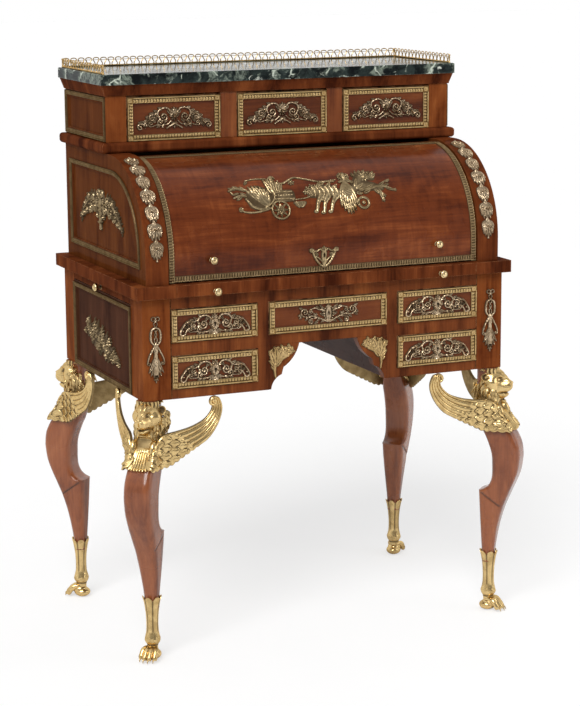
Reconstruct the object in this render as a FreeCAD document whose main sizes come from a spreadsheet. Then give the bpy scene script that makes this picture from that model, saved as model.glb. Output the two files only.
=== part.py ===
"""Cylinder desk: lion monopodia, kneehole case, writing slide, rolling fall, upper drawers, marble top.

Frame: origin on the floor under the middle of the case, +Z up, the front faces -Y, millimetres.
"""

import FreeCAD
import Part
import Sketcher
import math
import os
import re

vec = FreeCAD.Vector

# Driving dimensions: name, value in millimetres (or degrees or a count), what it measures.
sizes = {
    # legs, from the floor up
    "sabot_height": 137,  # paw and socket
    "shank_height": 138,  # sabot to hock
    "calf_height": 86,  # hock to knee
    "thigh_height": 106,  # knee to chest
    "bust_height": 81,  # chest to the case
    "leg_block": 42,  # square block under the case corner
    "ankle_back": 35,  # leg outline, measured inward from the case corner along the diagonal
    "ankle_depth": 27,
    "ankle_width": 29,
    "hock_back": 37,
    "hock_depth": 64,
    "hock_width": 52,
    "hock_rise": 10,  # height of the hollow over the hock
    "hollow_back": 19,
    "hollow_depth": 51,
    "calf_back": 9,
    "calf_depth": 49,
    "calf_width": 54,
    "knee_back": 10,
    "knee_depth": 57,
    "knee_width": 56,
    "thigh_back": 34,
    "thigh_depth": 61,
    "thigh_width": 54,
    "chest_back": 50,
    "chest_depth": 44,
    "chest_width": 42,
    "leg_cant": 7,  # canted corners of the leg
    "leg_rings": 9,  # sections between calf and chest
    "socket_depth": 25,  # leg inside the sabot
    "socket_wall": 2.5,
    "sabot_waist": 13.5,  # least radius of the sabot
    "paw_length": 58,
    "paw_width": 50,
    "paw_height": 30,
    "toe_count": 4,
    "ring_sides": 10,  # sides of the rings in the castings
    # lion bust and wings
    "bib_wall": 5,
    "bib_rings": 6,
    "bib_drop": 66,  # bib hangs this far below the chest
    "head_length": 75,  # nape to nose along the diagonal
    "head_width": 66,
    "head_height": 68,
    "muzzle_reach": 27,  # nose beyond the case corner
    "ear_radius": 8,
    "wing_length": 172,  # along the case from its corner
    "wing_drop": 137,  # below the case
    "wing_thickness": 9,
    "wing_root_offset": 34,  # wing face in front of the case at the corner
    "wing_tip_offset": 2,
    "curl_radius": 15,
    "seat_gap": 0.3,  # between a casting and the wood it sits against
    # lower case
    "case_width": 818,
    "case_depth": 498,
    "corner_stile": 61,
    "divider_width": 25,
    "centre_drawer_width": 268.6,
    "bottom_rail": 20,
    "drawer_height": 68.3,
    "middle_rail": 27,
    "top_rail": 25,
    "apron_height": 22,
    "face_thickness": 22,
    "side_thickness": 22,
    "back_thickness": 14,
    "partition_thickness": 14,
    "bearer_thickness": 8,
    "dust_board_thickness": 4.5,
    "guide_height": 12,
    "guide_width": 12,
    "spandrel_width": 68,
    "spandrel_thickness": 20,
    # side slides
    "side_stile": 66,  # between the end of a side slide and the corner of the case
    "side_slide_cover": 3.4,  # wood left over the slide
    "side_slide_inner": 44,  # end of the slide from the middle of the desk
    # tabletop and writing slide
    "top_thickness": 25.5,
    "top_overhang": 14.6,
    "slide_inset": 11.5,  # slide narrower than the space between the cylinder ends, on each side
    "slide_depth": 300,
    "slide_travel": 220,
    "tongue_height": 6,
    "tongue_reach": 6.5,
    "groove_margin": 10,  # wood left in front of the groove
    "leather_margin": 36,
    "leather_thickness": 1.2,
    # cylinder section
    "cylinder_inset": 10.2,  # cylinder section inside the case, on each side
    "end_thickness": 48.8,
    "end_radius": 197,
    "fall_straight": 46.5,  # upright part below the curve
    "fall_inset": 5.5,  # fall behind the face of the ends
    "fall_thickness": 16,
    "fall_arc": 100,  # degrees
    "arm_thickness": 6,
    "arm_from": 22,  # degrees
    "arm_to": 74,  # degrees
    "arm_hub": 15,
    "pin_radius": 4.8,
    "pin_reach": 18,
    "relief_width": 372,
    "relief_from": 21,  # degrees
    "relief_to": 51,  # degrees
    "relief_height": 4.5,
    "escutcheon_width": 62,
    "escutcheon_height": 40,
    "escutcheon_drop": 13,  # its middle below the fall's axis
    "fall_knob_drop": 3,
    "panel_inset": 30,  # moulding from the edge of a quarter-round end
    "panel_depth": 3,
    "moulding_width": 13,
    "moulding_height": 4,
    "moulding_margin": 2,  # wood outside the lower and upper side mouldings
    # gilt mounts on the stiles, the cylinder ends and the side panels
    "stile_mount_width": 36,
    "stile_mount_height": 133,
    "stile_mount_foot": 39,  # above the underside of the case
    "stile_mount_inset": 28,  # its middle from the side of the case
    "chain_drops": 8,
    "chain_width": 26,
    "chain_gap": 3,  # between two leaves of the chain
    "chain_from": 1,  # degrees, middle of the lowest leaf
    "chain_to": 74,  # degrees
    "spray_width": 212,
    "spray_height": 84,
    "spray_level": 90,  # its middle above the underside of the case
    "trophy_width": 268,
    "trophy_height": 96,
    "trophy_level": 78,  # its middle above the fall's axis
    "trophy_back": 74,  # its middle behind the fall's axis
    # fitment behind the fall
    "fitment_margin": 20,  # beside the fitment
    "fitment_front": 22,  # behind the fall's axis
    "fitment_depth": 110,
    "fitment_height": 140,
    "fitment_board": 7,
    "fitment_shelf": 52,  # height of the lower pigeonholes
    "pigeonholes": 5,
    # upper case and top
    "waist_thickness": 22,
    "waist_overhang": 12.3,
    "waist_round": 7,
    "upper_inset": 12.8,  # upper case inside the lower case, on each side
    "upper_setback": 35.5,  # upper case behind the fall's axis
    "upper_height": 95.5,
    "upper_corner_stile": 46,
    "upper_stile": 38,
    "upper_centre_width": 208,
    "upper_thickness": 18,
    "upper_web": 14,
    "upper_top_rail": 3.5,
    "cornice_height": 22.8,
    "cornice_step": 2.4,
    "cornice_flare": 7,
    "marble_thickness": 22,
    "marble_overhang": 11.9,
    "marble_round": 3,
    "gallery_height": 19.5,
    "gallery_inset": 7,
    "gallery_thickness": 2,
    "gallery_pitch": 18.5,
    "gallery_rail": 3,
    # drawers and knobs
    "drawer_front": 20,
    "drawer_side": 10,
    "drawer_bottom": 7,
    "drawer_clearance": 10,  # behind the drawer
    "running_gap": 0.6,
    "frame_width": 13,
    "frame_height": 5,
    "frame_bevel": 6,
    "mount_thickness": 4,
    "side_mount_beside": 6,  # from the frame to the mount, beside it and above it
    "side_mount_above": 0.5,
    "centre_mount_beside": 55,
    "centre_mount_above": 1.5,
    "upper_mount_beside": 10,
    "upper_mount_above": 8.5,
    "knob_radius": 8.5,
    "knob_reach": 19,
    "knob_neck": 4.5,
    "knob_tip": 3.5,  # flat end of the head
    "knob_swell": 13,  # widest part of the head from the seat
    "knob_inset": 83.5,  # from the end of the slide
    "slide_knob_height": 8,  # above the underside of the writing slide
}

# Levels and places that follow from the driving dimensions.
derived = {
    "hock": "sabot_height + shank_height",
    "knee": "hock + calf_height",
    "chest": "knee + thigh_height",
    "case_bottom": "chest + bust_height",
    "low_row": "case_bottom + bottom_rail",
    "low_row_top": "low_row + drawer_height",
    "high_row": "low_row_top + middle_rail",
    "high_row_top": "high_row + drawer_height",
    "case_top": "high_row_top + top_rail",
    "desk_top": "case_top + top_thickness",
    "axis_height": "desk_top + fall_straight",
    "waist": "axis_height + end_radius",
    "upper_floor": "waist + waist_thickness",
    "upper_roof": "upper_floor + upper_height",
    "marble_floor": "upper_roof + cornice_height",
    "marble_face": "marble_floor + marble_thickness",
    "half_width": "case_width / 2",
    "half_depth": "case_depth / 2",
    "inside": "half_width - side_thickness",
    "inside_front": "face_thickness - half_depth",
    "inside_back": "half_depth - back_thickness",
    "kneehole": "centre_drawer_width / 2",
    "kneehole_roof": "high_row - apron_height",
    "bay_inner": "kneehole + divider_width",
    "bay_outer": "half_width - corner_stile",
    "top_front": "-half_depth - top_overhang",
    "slide_half": "end_inside - slide_inset",
    "slide_back": "top_front + slide_depth",
    "tongue_length": "slide_depth - slide_travel - groove_margin",
    "tongue_floor": "case_top + (top_thickness - tongue_height) / 2",
    "side_slide_floor": "high_row_top + dust_board_thickness + running_gap",
    "side_slide_roof": "case_top - side_slide_cover",
    "side_slide_half": "half_depth - side_stile",
    "cylinder_half": "half_width - cylinder_inset",
    "end_inside": "cylinder_half - end_thickness",
    "axis": "end_radius - half_depth",
    "fall_radius": "end_radius - fall_inset",
    "fall_half": "end_inside - running_gap",
    "fitment_half": "end_inside - fitment_margin",
    "upper_half": "half_width - upper_inset",
    "upper_front": "axis + upper_setback",
    "upper_bay_outer": "upper_half - upper_corner_stile",
    "upper_bay_inner": "upper_centre_width / 2 + upper_stile",
    "upper_bay_top": "upper_roof - upper_top_rail",
    "upper_sunk": "moulding_margin + moulding_width",
    "marble_half": "upper_half + marble_overhang",
    "marble_front": "upper_front - marble_overhang",
    "marble_back": "half_depth + marble_overhang",
    "gallery_half": "marble_half - gallery_inset",
    "gallery_front": "marble_front + gallery_inset",
    "gallery_back": "marble_back - gallery_inset",
}

doc = FreeCAD.newDocument("cylinder_desk")
sheet = doc.addObject("Spreadsheet::Sheet", "sheet")
for row, (alias, number) in enumerate(sizes.items(), start=1):
    sheet.set(f"A{row}", alias)
    sheet.set(f"B{row}", str(number))
    sheet.setAlias(f"B{row}", alias)
doc.recompute()


def formula(text):
    """Expression for the document: size names become cells and derived names are written out."""

    def spell(match):
        word = match.group(0)
        if word in sizes:
            return "sheet." + word
        if word in derived:
            return "(" + formula(derived[word]) + ")"
        return word

    return re.sub(r"[A-Za-z_][A-Za-z_0-9]*", spell, str(text))


def value(text):
    """Number that a formula has now."""
    return float(sheet.evalExpression(formula(text)))


def block(name, x, y, z):
    """Box between the given formulas on each axis."""
    box = doc.addObject("Part::Box", name)
    for size, axis_name, (start, end) in zip(("Length", "Width", "Height"), "xyz", (x, y, z)):
        box.setExpression(size, formula(f"({end}) - ({start})"))
        box.setExpression("Placement.Base." + axis_name, formula(start))
    return box


def both_ways(reach):
    """Range from minus to plus a formula."""
    return f"-({reach})", reach


def fuse(name, *pieces):
    joined = doc.addObject("Part::MultiFuse", name)
    joined.Shapes = list(pieces)
    return joined


def group(name, *pieces):
    """Separate solids in one node."""
    gathered = doc.addObject("Part::Compound", name)
    gathered.Links = list(pieces)
    return gathered


def cut(name, base, *tools):
    trimmed = doc.addObject("Part::Cut", name)
    trimmed.Base = base
    trimmed.Tool = tools[0] if len(tools) == 1 else fuse(name + "_tools", *tools)
    return trimmed


def common(name, first, second):
    shared = doc.addObject("Part::Common", name)
    shared.Base = first
    shared.Tool = second
    return shared


def mirrored(name, source, normal=(1, 0, 0)):
    twin = doc.addObject("Part::Mirroring", name)
    twin.Source = source
    twin.Normal = vec(*normal)
    return twin


def cylinder_on_x(name, radius, x):
    """Cylinder about the fall's axis between two formulas on X."""
    rod = doc.addObject("Part::Cylinder", name)
    rod.setExpression("Radius", formula(radius))
    rod.setExpression("Height", formula(f"({x[1]}) - ({x[0]})"))
    rod.Placement.Rotation = FreeCAD.Rotation(vec(0, 1, 0), 90)
    rod.setExpression("Placement.Base.x", formula(x[0]))
    rod.setExpression("Placement.Base.y", formula("axis"))
    rod.setExpression("Placement.Base.z", formula("axis_height"))
    return rod


def solid_feature(name, shape):
    """Sculpted piece whose shape is worked out in this file."""
    feature = doc.addObject("Part::Feature", name)
    feature.Shape = shape
    return feature


def origin_feature(body, role):
    """Plane or axis of the body's own origin."""
    return next(f for f in body.Origin.OriginFeatures if f.Role == role)


def through_rings(rings):
    """Solid with flat faces between flat rings that have equally many points."""
    loops = [rings[0], rings[-1]]
    for low, high in zip(rings, rings[1:]):
        for first in range(-1, len(low) - 1):
            loops.append([low[first], low[first + 1], high[first + 1]])
            loops.append([low[first], high[first + 1], high[first]])
    faces = [Part.Face(Part.makePolygon([*loop, loop[0]])) for loop in loops]
    shell = Part.makeShell(faces)
    shell.sewShape()
    solid = Part.makeSolid(shell)
    if solid.Volume < 0:
        solid.reverse()
    return solid.removeSplitter()


def spread(start, end, count):
    """Evenly spaced numbers, both ends included."""
    return [start + (end - start) * number / (count - 1) for number in range(count)]


def profile(body, name, role, corners, arcs=None):
    """Closed sketch on an origin plane of the body.

    corners: pairs of formulas; None leaves a coordinate to the arc that ends there.
    arcs: number of the corner where an arc starts, then the formulas of its centre.
    """
    arcs = arcs or {}
    sketch = body.newObject("Sketcher::SketchObject", name)
    sketch.AttachmentSupport = [(origin_feature(body, role), "")]
    sketch.MapMode = "FlatFace"
    count = len(corners)
    spots = []
    for across, up in corners:
        spots.append([None if across is None else value(across), None if up is None else value(up)])
    for number, centre in arcs.items():
        start = spots[number]
        end = spots[(number + 1) % count]
        middle = [value(text) for text in centre]
        free = start if None in start else end
        fixed = end if free is start else start
        radius = math.dist(fixed, middle)
        if None in free:
            missing = free.index(None)
            known = free[1 - missing] - middle[1 - missing]
            free[missing] = middle[missing] + math.sqrt(max(radius**2 - known**2, 0))
    ends = []
    for number in range(count):
        start = vec(*spots[number], 0)
        end = vec(*spots[(number + 1) % count], 0)
        ends.append((1, 2))
        if number in arcs:
            middle = vec(*[value(text) for text in arcs[number]], 0)
            circle = Part.Circle(middle, vec(0, 0, 1), start.distanceToPoint(middle))
            first, last = (math.atan2(spot.y - middle.y, spot.x - middle.x) for spot in (start, end))
            if (last - first) % math.tau > math.pi:  # the arc runs clockwise: its ends change places
                first, last = last, first
                ends[number] = (2, 1)
            sketch.addGeometry(Part.ArcOfCircle(circle, first, first + (last - first) % math.tau))
        else:
            sketch.addGeometry(Part.LineSegment(start, end))
    for number in range(count):
        following = (number + 1) % count
        sketch.addConstraint(
            Sketcher.Constraint("Coincident", number, ends[number][1], following, ends[following][0])
        )
    for number, corner in enumerate(corners):
        for kind, text, spot in zip(("DistanceX", "DistanceY"), corner, spots[number]):
            if text is not None:
                bind(sketch, kind, number, ends[number][0], spot, text)
    for number, centre in arcs.items():
        for kind, text in zip(("DistanceX", "DistanceY"), centre):
            bind(sketch, kind, number, 3, value(text), text)
    return sketch


def bind(sketch, kind, geometry, point, number, text):
    """Dimension from the sketch's origin, tied to the sheet."""
    index = sketch.addConstraint(Sketcher.Constraint(kind, -1, 1, geometry, point, number))
    sketch.setExpression(f"Constraints[{index}]", formula(text))


def pad(name, role, corners, start, end, arcs=None):
    """Body extruded from a profile on an origin plane, between two formulas along its normal."""
    body = doc.addObject("PartDesign::Body", name)
    sketch = profile(body, name + "_profile", role, corners, arcs)
    along = {"XY_Plane": "z", "XZ_Plane": "y", "YZ_Plane": "x"}[role]
    raised = body.newObject("PartDesign::Pad", name + "_pad")
    raised.Profile = sketch
    raised.setExpression("Length", formula(f"({end}) - ({start})"))
    raised.Reversed = role == "XZ_Plane"
    body.setExpression("Placement.Base." + along, formula(start))
    return body


def rectangle(x, y):
    return [(x[0], y[0]), (x[1], y[0]), (x[1], y[1]), (x[0], y[1])]


# Legs


def octagon(height, back, depth, width, cant):
    """Section of a leg: canted square, in the diagonal frame of the leg."""
    front = depth - back
    half = width / 2
    corners = [
        (front - cant, -half),
        (front, cant - half),
        (front, half - cant),
        (front - cant, half),
        (cant - back, half),
        (-back, half - cant),
        (-back, cant - half),
        (cant - back, -half),
    ]
    return [vec(x, y, height) for x, y in corners]


def section(height, back, depth, width, cant, grow=0):
    """Ring of a leg section, grown outward for a casting that wraps it."""
    return octagon(height, back + grow, depth + 2 * grow, width + 2 * grow, cant + grow / 2)


def leg_curve():
    """Smooth curve through the stations of the thigh: back, depth and width against height."""
    stations = [
        ("hock", "hock_back", "hock_depth", "hock_width"),
        ("hock + hock_rise", "hollow_back", "hollow_depth", "calf_width"),
        ("hock + 3 * hock_rise", "calf_back", "calf_depth", "calf_width"),
        ("knee", "knee_back", "knee_depth", "knee_width"),
        ("(knee + chest) / 2", "thigh_back", "thigh_depth", "thigh_width"),
        ("chest", "chest_back", "chest_depth", "chest_width"),
    ]
    curve = Part.BSplineCurve()
    spots = [vec(*(value(text) for text in station[1:])) for station in stations]
    curve.interpolate(Points=spots, Parameters=[value(station[0]) for station in stations])
    return curve


def leg_sections(heights, grow=0):
    """Sections of the thigh at the given heights."""
    curve = leg_curve()
    return [section(height, *curve.value(height), value("leg_cant"), grow) for height in heights]


def on_corner(shape):
    """Turns a shape from the leg's diagonal frame to the front right corner of the case."""
    placed = shape.copy()
    placed.rotate(vec(0, 0, 0), vec(0, 0, 1), -45)
    placed.translate(vec(value("half_width"), -value("half_depth"), 0))
    return placed


def leg_shape():
    """Thigh and shank lofts under a square block at the corner of the case."""
    calf = value("hock + 3 * hock_rise")
    near_hock = spread(value("hock"), value("hock + hock_rise"), 3) + [value("hock + 2 * hock_rise")]
    heights = near_hock + spread(calf, value("chest"), int(value("leg_rings")))
    thigh = through_rings(leg_sections(heights))
    cant = value("leg_cant")
    hock = section(*(value(t) for t in ("hock", "hock_back", "hock_depth", "hock_width")), cant)
    ankle_cant = cant * value("ankle_width / hock_width")
    ankle = section(
        *(value(t) for t in ("sabot_height", "ankle_back", "ankle_depth", "ankle_width")), ankle_cant
    )
    taper = value("1 - socket_depth / shank_height")
    tip = section(
        value("sabot_height - socket_depth"),
        value("ankle_back"),
        value("ankle_depth") * taper,
        value("ankle_width") * taper,
        ankle_cant * taper,
    )
    shank = through_rings([tip, ankle, hock])
    chest = [value(text) for text in ("chest_back", "chest_depth", "chest_width")]
    neck = through_rings([section(value(level), *chest, cant) for level in ("chest", "case_bottom")])
    size = value("leg_block")
    block_height = value("bust_height")
    corner = vec(value("half_width") - size, -value("half_depth"), value("case_bottom") - block_height)
    top = Part.makeBox(size, size, block_height, corner)
    under_case = Part.makeBox(
        value("half_width"), value("half_depth"), value("case_bottom"), vec(0, -value("half_depth"), 0)
    )
    column = on_corner(thigh.fuse([shank])).fuse([on_corner(neck).common(under_case), top])
    return column.removeSplitter()


def four_corners(name, front_right):
    """The piece at the front right and its mirror images at the other corners."""
    front_right.Label = name + "_front_right"
    front_left = mirrored(name + "_front_left", front_right)
    back_right = mirrored(name + "_back_right", front_right, (0, 1, 0))
    back_left = mirrored(name + "_back_left", back_right)
    return [front_right, front_left, back_right, back_left]


leg_solid = leg_shape()
legs = four_corners("leg", solid_feature("leg_front_right", leg_solid))


# Winged lion busts


def oval_ring(reach, height, half_width, half_height):
    """Upright oval across the diagonal."""
    ring = []
    for angle in spread(0, math.tau, int(value("ring_sides")) + 1)[:-1]:
        ring.append(vec(reach, half_width * math.cos(angle), height + half_height * math.sin(angle)))
    return ring


def lion_head():
    """Head from nape to nose with a mane, brow, muzzle and ears, in the leg's diagonal frame."""
    nose = value("muzzle_reach")
    nape = nose - value("head_length")
    half = value("head_width") / 2
    tall = value("head_height") / 2
    middle = value("case_bottom - seat_gap") - tall
    length = value("head_length")
    # share of the length from the nape, rise of the centre, share of the half width and half height
    mane = [
        (0, 0, 0.65, 0.7),
        (0.12, 0, 0.92, 0.92),
        (0.28, 0, 1, 1),
        (0.45, 0, 0.93, 0.95),
        (0.58, 0, 0.7, 0.75),
    ]
    face = [
        (0.3, 0.05, 0.78, 0.8),
        (0.6, 0.05, 0.76, 0.78),
        (0.7, 0, 0.62, 0.66),
        (0.78, -0.12, 0.46, 0.5),
        (0.94, -0.14, 0.4, 0.4),
        (1, -0.1, 0.28, 0.24),
    ]
    lofts = []
    for shares in (mane, face):
        rings = []
        for along, rise, wide, high in shares:
            rings.append(oval_ring(nape + along * length, middle + rise * tall, wide * half, high * tall))
        lofts.append(through_rings(rings))
    radius = value("ear_radius")
    for side in (-1, 1):
        across = side * (half - 0.5 * radius)
        rings = []
        for along, size in ((0.38, 1), (0.38 + radius / length, 0.7)):
            centre = vec(nape + along * length, across, middle + 0.62 * tall)
            rings.append([centre + spot for spot in oval_ring(0, 0, size * radius, size * radius)])
        lofts.append(through_rings(rings))
    return lofts[0].fuse(lofts[1:])


def bib():
    """Feathered chest plate that wraps the thigh, grown from the leg's own sections."""
    wall = value("bib_wall")
    bottom = value("chest - bib_drop")
    top = value("chest + bust_height / 3")
    wrap = through_rings(leg_sections(spread(bottom, value("chest"), int(value("bib_rings"))), wall))
    chest = [value(text) for text in ("chest_back", "chest_depth", "chest_width", "leg_cant")]
    collar = through_rings([section(level, *chest, wall) for level in (value("chest"), top)])
    back = -value("chest_back") / 4
    reach = 4 * value("knee_depth")
    front = Part.makeBox(reach, reach, top - bottom, vec(back, -reach / 2, bottom))
    return wrap.fuse([collar]).common(front)


def wing_face():
    """Outline of a wing: along the case from its corner, and down from the underside of the case."""
    length = value("wing_length")
    drop = value("wing_drop")
    roof = value("case_bottom - seat_gap")
    curl = value("curl_radius")

    def spot(along, down):
        return vec(along, 0, roof - down)

    # the tip curls over, the lower edge sweeps down to the root, the upper edge returns to the curl
    tip = Part.Arc(spot(length - 2 * curl, 0.9 * curl), spot(length - curl, 0), spot(length, 1.6 * curl))
    lower = Part.BSplineCurve()
    lower.interpolate(
        [
            spot(length, 1.6 * curl),
            spot(0.88 * length, 0.53 * drop),
            spot(0.56 * length, 0.8 * drop),
            spot(0.31 * length, 0.98 * drop),
            spot(0.12 * length, drop),
        ]
    )
    root_ends = spot(0.12 * length, drop), spot(0.1 * length, 0.56 * drop)
    root = Part.Arc(root_ends[0], spot(-0.02 * length, 0.82 * drop), root_ends[1])
    upper = Part.BSplineCurve()
    upper.interpolate(
        [
            spot(0.1 * length, 0.56 * drop),
            spot(0.2 * length, 0.48 * drop),
            spot(0.57 * length, 0.425 * drop),
            spot(0.76 * length, 0.31 * drop),
            spot(0.865 * length, 0.15 * drop),
        ]
    )
    outline = []
    for curve, count in ((tip, 6), (lower, 9), (root, 6), (upper, 8)):
        outline += curve.discretize(Number=count)[:-1]
    outline.append(upper.EndPoint)
    return Part.Face(Part.makePolygon([*outline, outline[0]]))


def wing(side):
    """Wing at the front right corner: side 0 runs along the front, side 1 along the right side."""
    plate = wing_face().extrude(vec(0, value("wing_thickness"), 0))
    swing = math.degrees(math.atan2(value("wing_root_offset - wing_tip_offset"), value("wing_length")))
    plate.translate(vec(0, -value("wing_root_offset"), 0))
    plate.rotate(vec(0, -value("wing_root_offset"), 0), vec(0, 0, 1), swing)
    mirror = plate.mirror(vec(0, 0, 0), vec(1, 0, 0))
    if side == 1:
        mirror = mirror.mirror(vec(0, 0, 0), vec(1, 1, 0))
    mirror.translate(vec(value("half_width"), -value("half_depth"), 0))
    return mirror


def lion_shape():
    """Bust and both wings as one casting, hollowed to sit on the leg."""
    casting = on_corner(lion_head()).fuse([on_corner(bib()), wing(0), wing(1)])
    below_case = value("case_bottom - seat_gap")
    room = Part.makeBox(2 * value("half_width"), 2 * value("half_depth"), below_case,
                        vec(0, -2 * value("half_depth"), 0))
    return casting.common(room).cut(leg_solid).removeSplitter()


lions = four_corners("winged_lion", solid_feature("winged_lion_front_right", lion_shape()))


# Sabots with paw feet


def stacked(rings):
    """Solid through level ovals: height, middle along and across the diagonal, half length, half width."""
    outline = spread(0, math.tau, int(value("ring_sides")) + 1)[:-1]
    stack = []
    for height, along, across, half_length, half_width in rings:
        stack.append(
            [
                vec(along + half_length * math.cos(angle), across + half_width * math.sin(angle), height)
                for angle in outline
            ]
        )
    return through_rings(stack)


def sabot_shape():
    """Socket with a flared rim over a paw of separate toes, flat on the floor."""
    middle = value("ankle_depth / 2 - ankle_back")
    waist = value("sabot_waist")
    paw_top = value("paw_height")
    rim = value("sabot_height")
    rim_radius = value("ankle_width / 2 + socket_wall") / math.cos(math.pi / 8)
    # height and radius of the socket, from the paw to the rim
    turned = [(0.5 * paw_top, waist), (0.95 * paw_top, 1.2 * waist), (1.35 * paw_top, 1.02 * waist),
              (0.7 * rim, 1.04 * waist), (rim, rim_radius)]
    pieces = [stacked([(height, middle, 0, radius, radius) for height, radius in turned])]
    length = value("paw_length")
    width = value("paw_width")
    pad_middle = middle + 0.1 * length
    # share of the paw's height and of its length and width
    pad_rings = [(0, 0.36, 0.34), (0.35, 0.42, 0.42), (0.7, 0.36, 0.36), (1, 0.2, 0.22)]
    pieces.append(stacked([(up * paw_top, pad_middle, 0, a * length, b * width) for up, a, b in pad_rings]))
    count = int(value("toe_count"))
    toe_rings = [(0, 0.8), (0.3, 1), (0.6, 0.8), (0.78, 0.4)]
    for number in range(count):
        share = (number + 0.5) / count - 0.5
        along = pad_middle + 0.34 * length * (1 - 2 * share**2)
        across = share * 0.84 * width
        rings = []
        for up, size in toe_rings:
            lean = along - 0.1 * length * up
            rings.append((up * paw_top, lean, across, 0.2 * length * size, 0.58 * width / count * size))
        pieces.append(stacked(rings))
    foot = on_corner(pieces[0].fuse(pieces[1:]))
    return foot.cut(leg_solid).removeSplitter()


sabots = four_corners("sabot", solid_feature("sabot_front_right", sabot_shape()))


# Lower case


def knob(name, x, y, z, turn=0):
    """Knob with a neck, a swelling head and a flat end, pointing to -Y, or to +X if turned."""
    outline = spread(0, math.tau, int(value("ring_sides")) + 1)[:-1]
    rings = []
    for reach, radius in (
        ("0", "knob_neck"),
        ("knob_swell / 2", "knob_neck"),
        ("knob_swell", "knob_radius"),
        ("knob_reach", "knob_tip"),
    ):
        size = value(radius)
        seat = value(reach)
        rings.append([vec(size * math.cos(angle), -seat, size * math.sin(angle)) for angle in outline])
    piece = solid_feature(name, through_rings(rings))
    piece.Placement.Rotation = FreeCAD.Rotation(vec(0, 0, 1), turn)
    for axis_name, text in zip("xyz", (x, y, z)):
        piece.setExpression("Placement.Base." + axis_name, formula(text))
    return piece


def lower_side():
    """Side with a corner stile at each end, a slot for the side slide and a sunk panel."""
    corners = [
        ("half_width", "-half_depth"),
        ("half_width", "half_depth"),
        ("bay_outer", "half_depth"),
        ("bay_outer", "inside_back"),
        ("inside", "inside_back"),
        ("inside", "inside_front"),
        ("bay_outer", "inside_front"),
        ("bay_outer", "-half_depth"),
    ]
    board = pad("lower_side_board", "XY_Plane", corners, "case_bottom", "case_top")
    slot = block(
        "side_slide_slot",
        ("inside - 1", "half_width + 1"),
        both_ways("side_slide_half + running_gap"),
        ("side_slide_floor - running_gap", "side_slide_roof + running_gap"),
    )
    sunk = block(
        "lower_panel",
        ("half_width - panel_depth", "half_width + 1"),
        both_ways("side_slide_half - moulding_width"),
        ("case_bottom + moulding_margin + moulding_width", "high_row_top - moulding_width"),
    )
    return cut("lower_side_right", board, slot, sunk)


lower_side_right = lower_side()
lower_side_left = mirrored("lower_side_left", lower_side_right)

face_y = ("-half_depth", "inside_front")
through_face = ("-half_depth - 1", "inside_front + 1")
side_bay = ("bay_inner", "bay_outer")
rows = {"lower": ("low_row", "low_row_top"), "upper": ("high_row", "high_row_top")}


def face_frame():
    """Rails and dividers of the front, with the drawer bays and the kneehole cut out."""
    board = block("face_board", both_ways("bay_outer"), face_y, ("case_bottom", "case_top"))
    bays = [block("kneehole_bay", both_ways("kneehole"), through_face, ("case_bottom - 1", "kneehole_roof"))]
    bays.append(block("centre_bay", both_ways("kneehole"), through_face, rows["upper"]))
    for level, span in rows.items():
        bay = block(f"{level}_bay_right", side_bay, through_face, span)
        bays += [bay, mirrored(f"{level}_bay_left", bay)]
    return cut("face_frame", board, *bays)


face_frame_piece = face_frame()

inside_y = ("inside_front", "inside_back")
back_y = ("inside_back", "half_depth")
back_board = block("back_board", both_ways("bay_outer"), back_y, ("case_bottom", "case_top"))
back_opening = block(
    "back_opening",
    both_ways("kneehole"),
    ("inside_back - 1", "half_depth + 1"),
    ("case_bottom - 1", "kneehole_roof"),
)
lower_back = cut("lower_back", back_board, back_opening)

wall_x = ("kneehole", "kneehole + partition_thickness")
wall_right = block("kneehole_wall_right", wall_x, inside_y, ("case_bottom", "high_row_top"))
kneehole_walls = group("kneehole_walls", wall_right, mirrored("kneehole_wall_left", wall_right))


def bearer(name, floor, roof):
    """Board under a drawer with a guide strip on each side of it."""
    board_x = ("kneehole + partition_thickness", "inside")
    guide_z = (roof, f"{roof} + guide_height")
    board = block(name + "_board", board_x, inside_y, (floor, roof))
    inner = block(name + "_inner_guide", ("kneehole + partition_thickness", "bay_inner"), inside_y, guide_z)
    outer = block(name + "_outer_guide", ("bay_outer", "inside"), inside_y, guide_z)
    return fuse(name, board, inner, outer)


def drawer_bearers():
    """Pedestal floors, the boards between the rows and the board over the kneehole."""
    right = [
        bearer("pedestal_floor", "case_bottom", "low_row"),
        bearer("row_board", "high_row - bearer_thickness", "high_row"),
    ]
    left = [mirrored(piece.Name + "_left", piece) for piece in right]
    level = ("high_row - bearer_thickness", "high_row")
    middle = block("kneehole_board", both_ways("kneehole"), inside_y, level)
    return group("drawer_bearers", *right, *left, middle)


bearers = drawer_bearers()


def top_dust_board():
    """Thin board over the drawers, with strips that guide the side slides."""
    floor = "high_row_top"
    roof = "high_row_top + dust_board_thickness"
    board = block("dust_board", both_ways("inside"), inside_y, (floor, roof))
    strip_y = ("side_slide_half + running_gap", "side_slide_half + running_gap + guide_width")
    back_strip = block("slide_guide", both_ways("inside"), strip_y, (roof, f"{roof} + guide_height"))
    front_strip = mirrored("slide_guide_front", back_strip, (0, 1, 0))
    return fuse("top_dust_board", board, back_strip, front_strip)


dust_board = top_dust_board()


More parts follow.
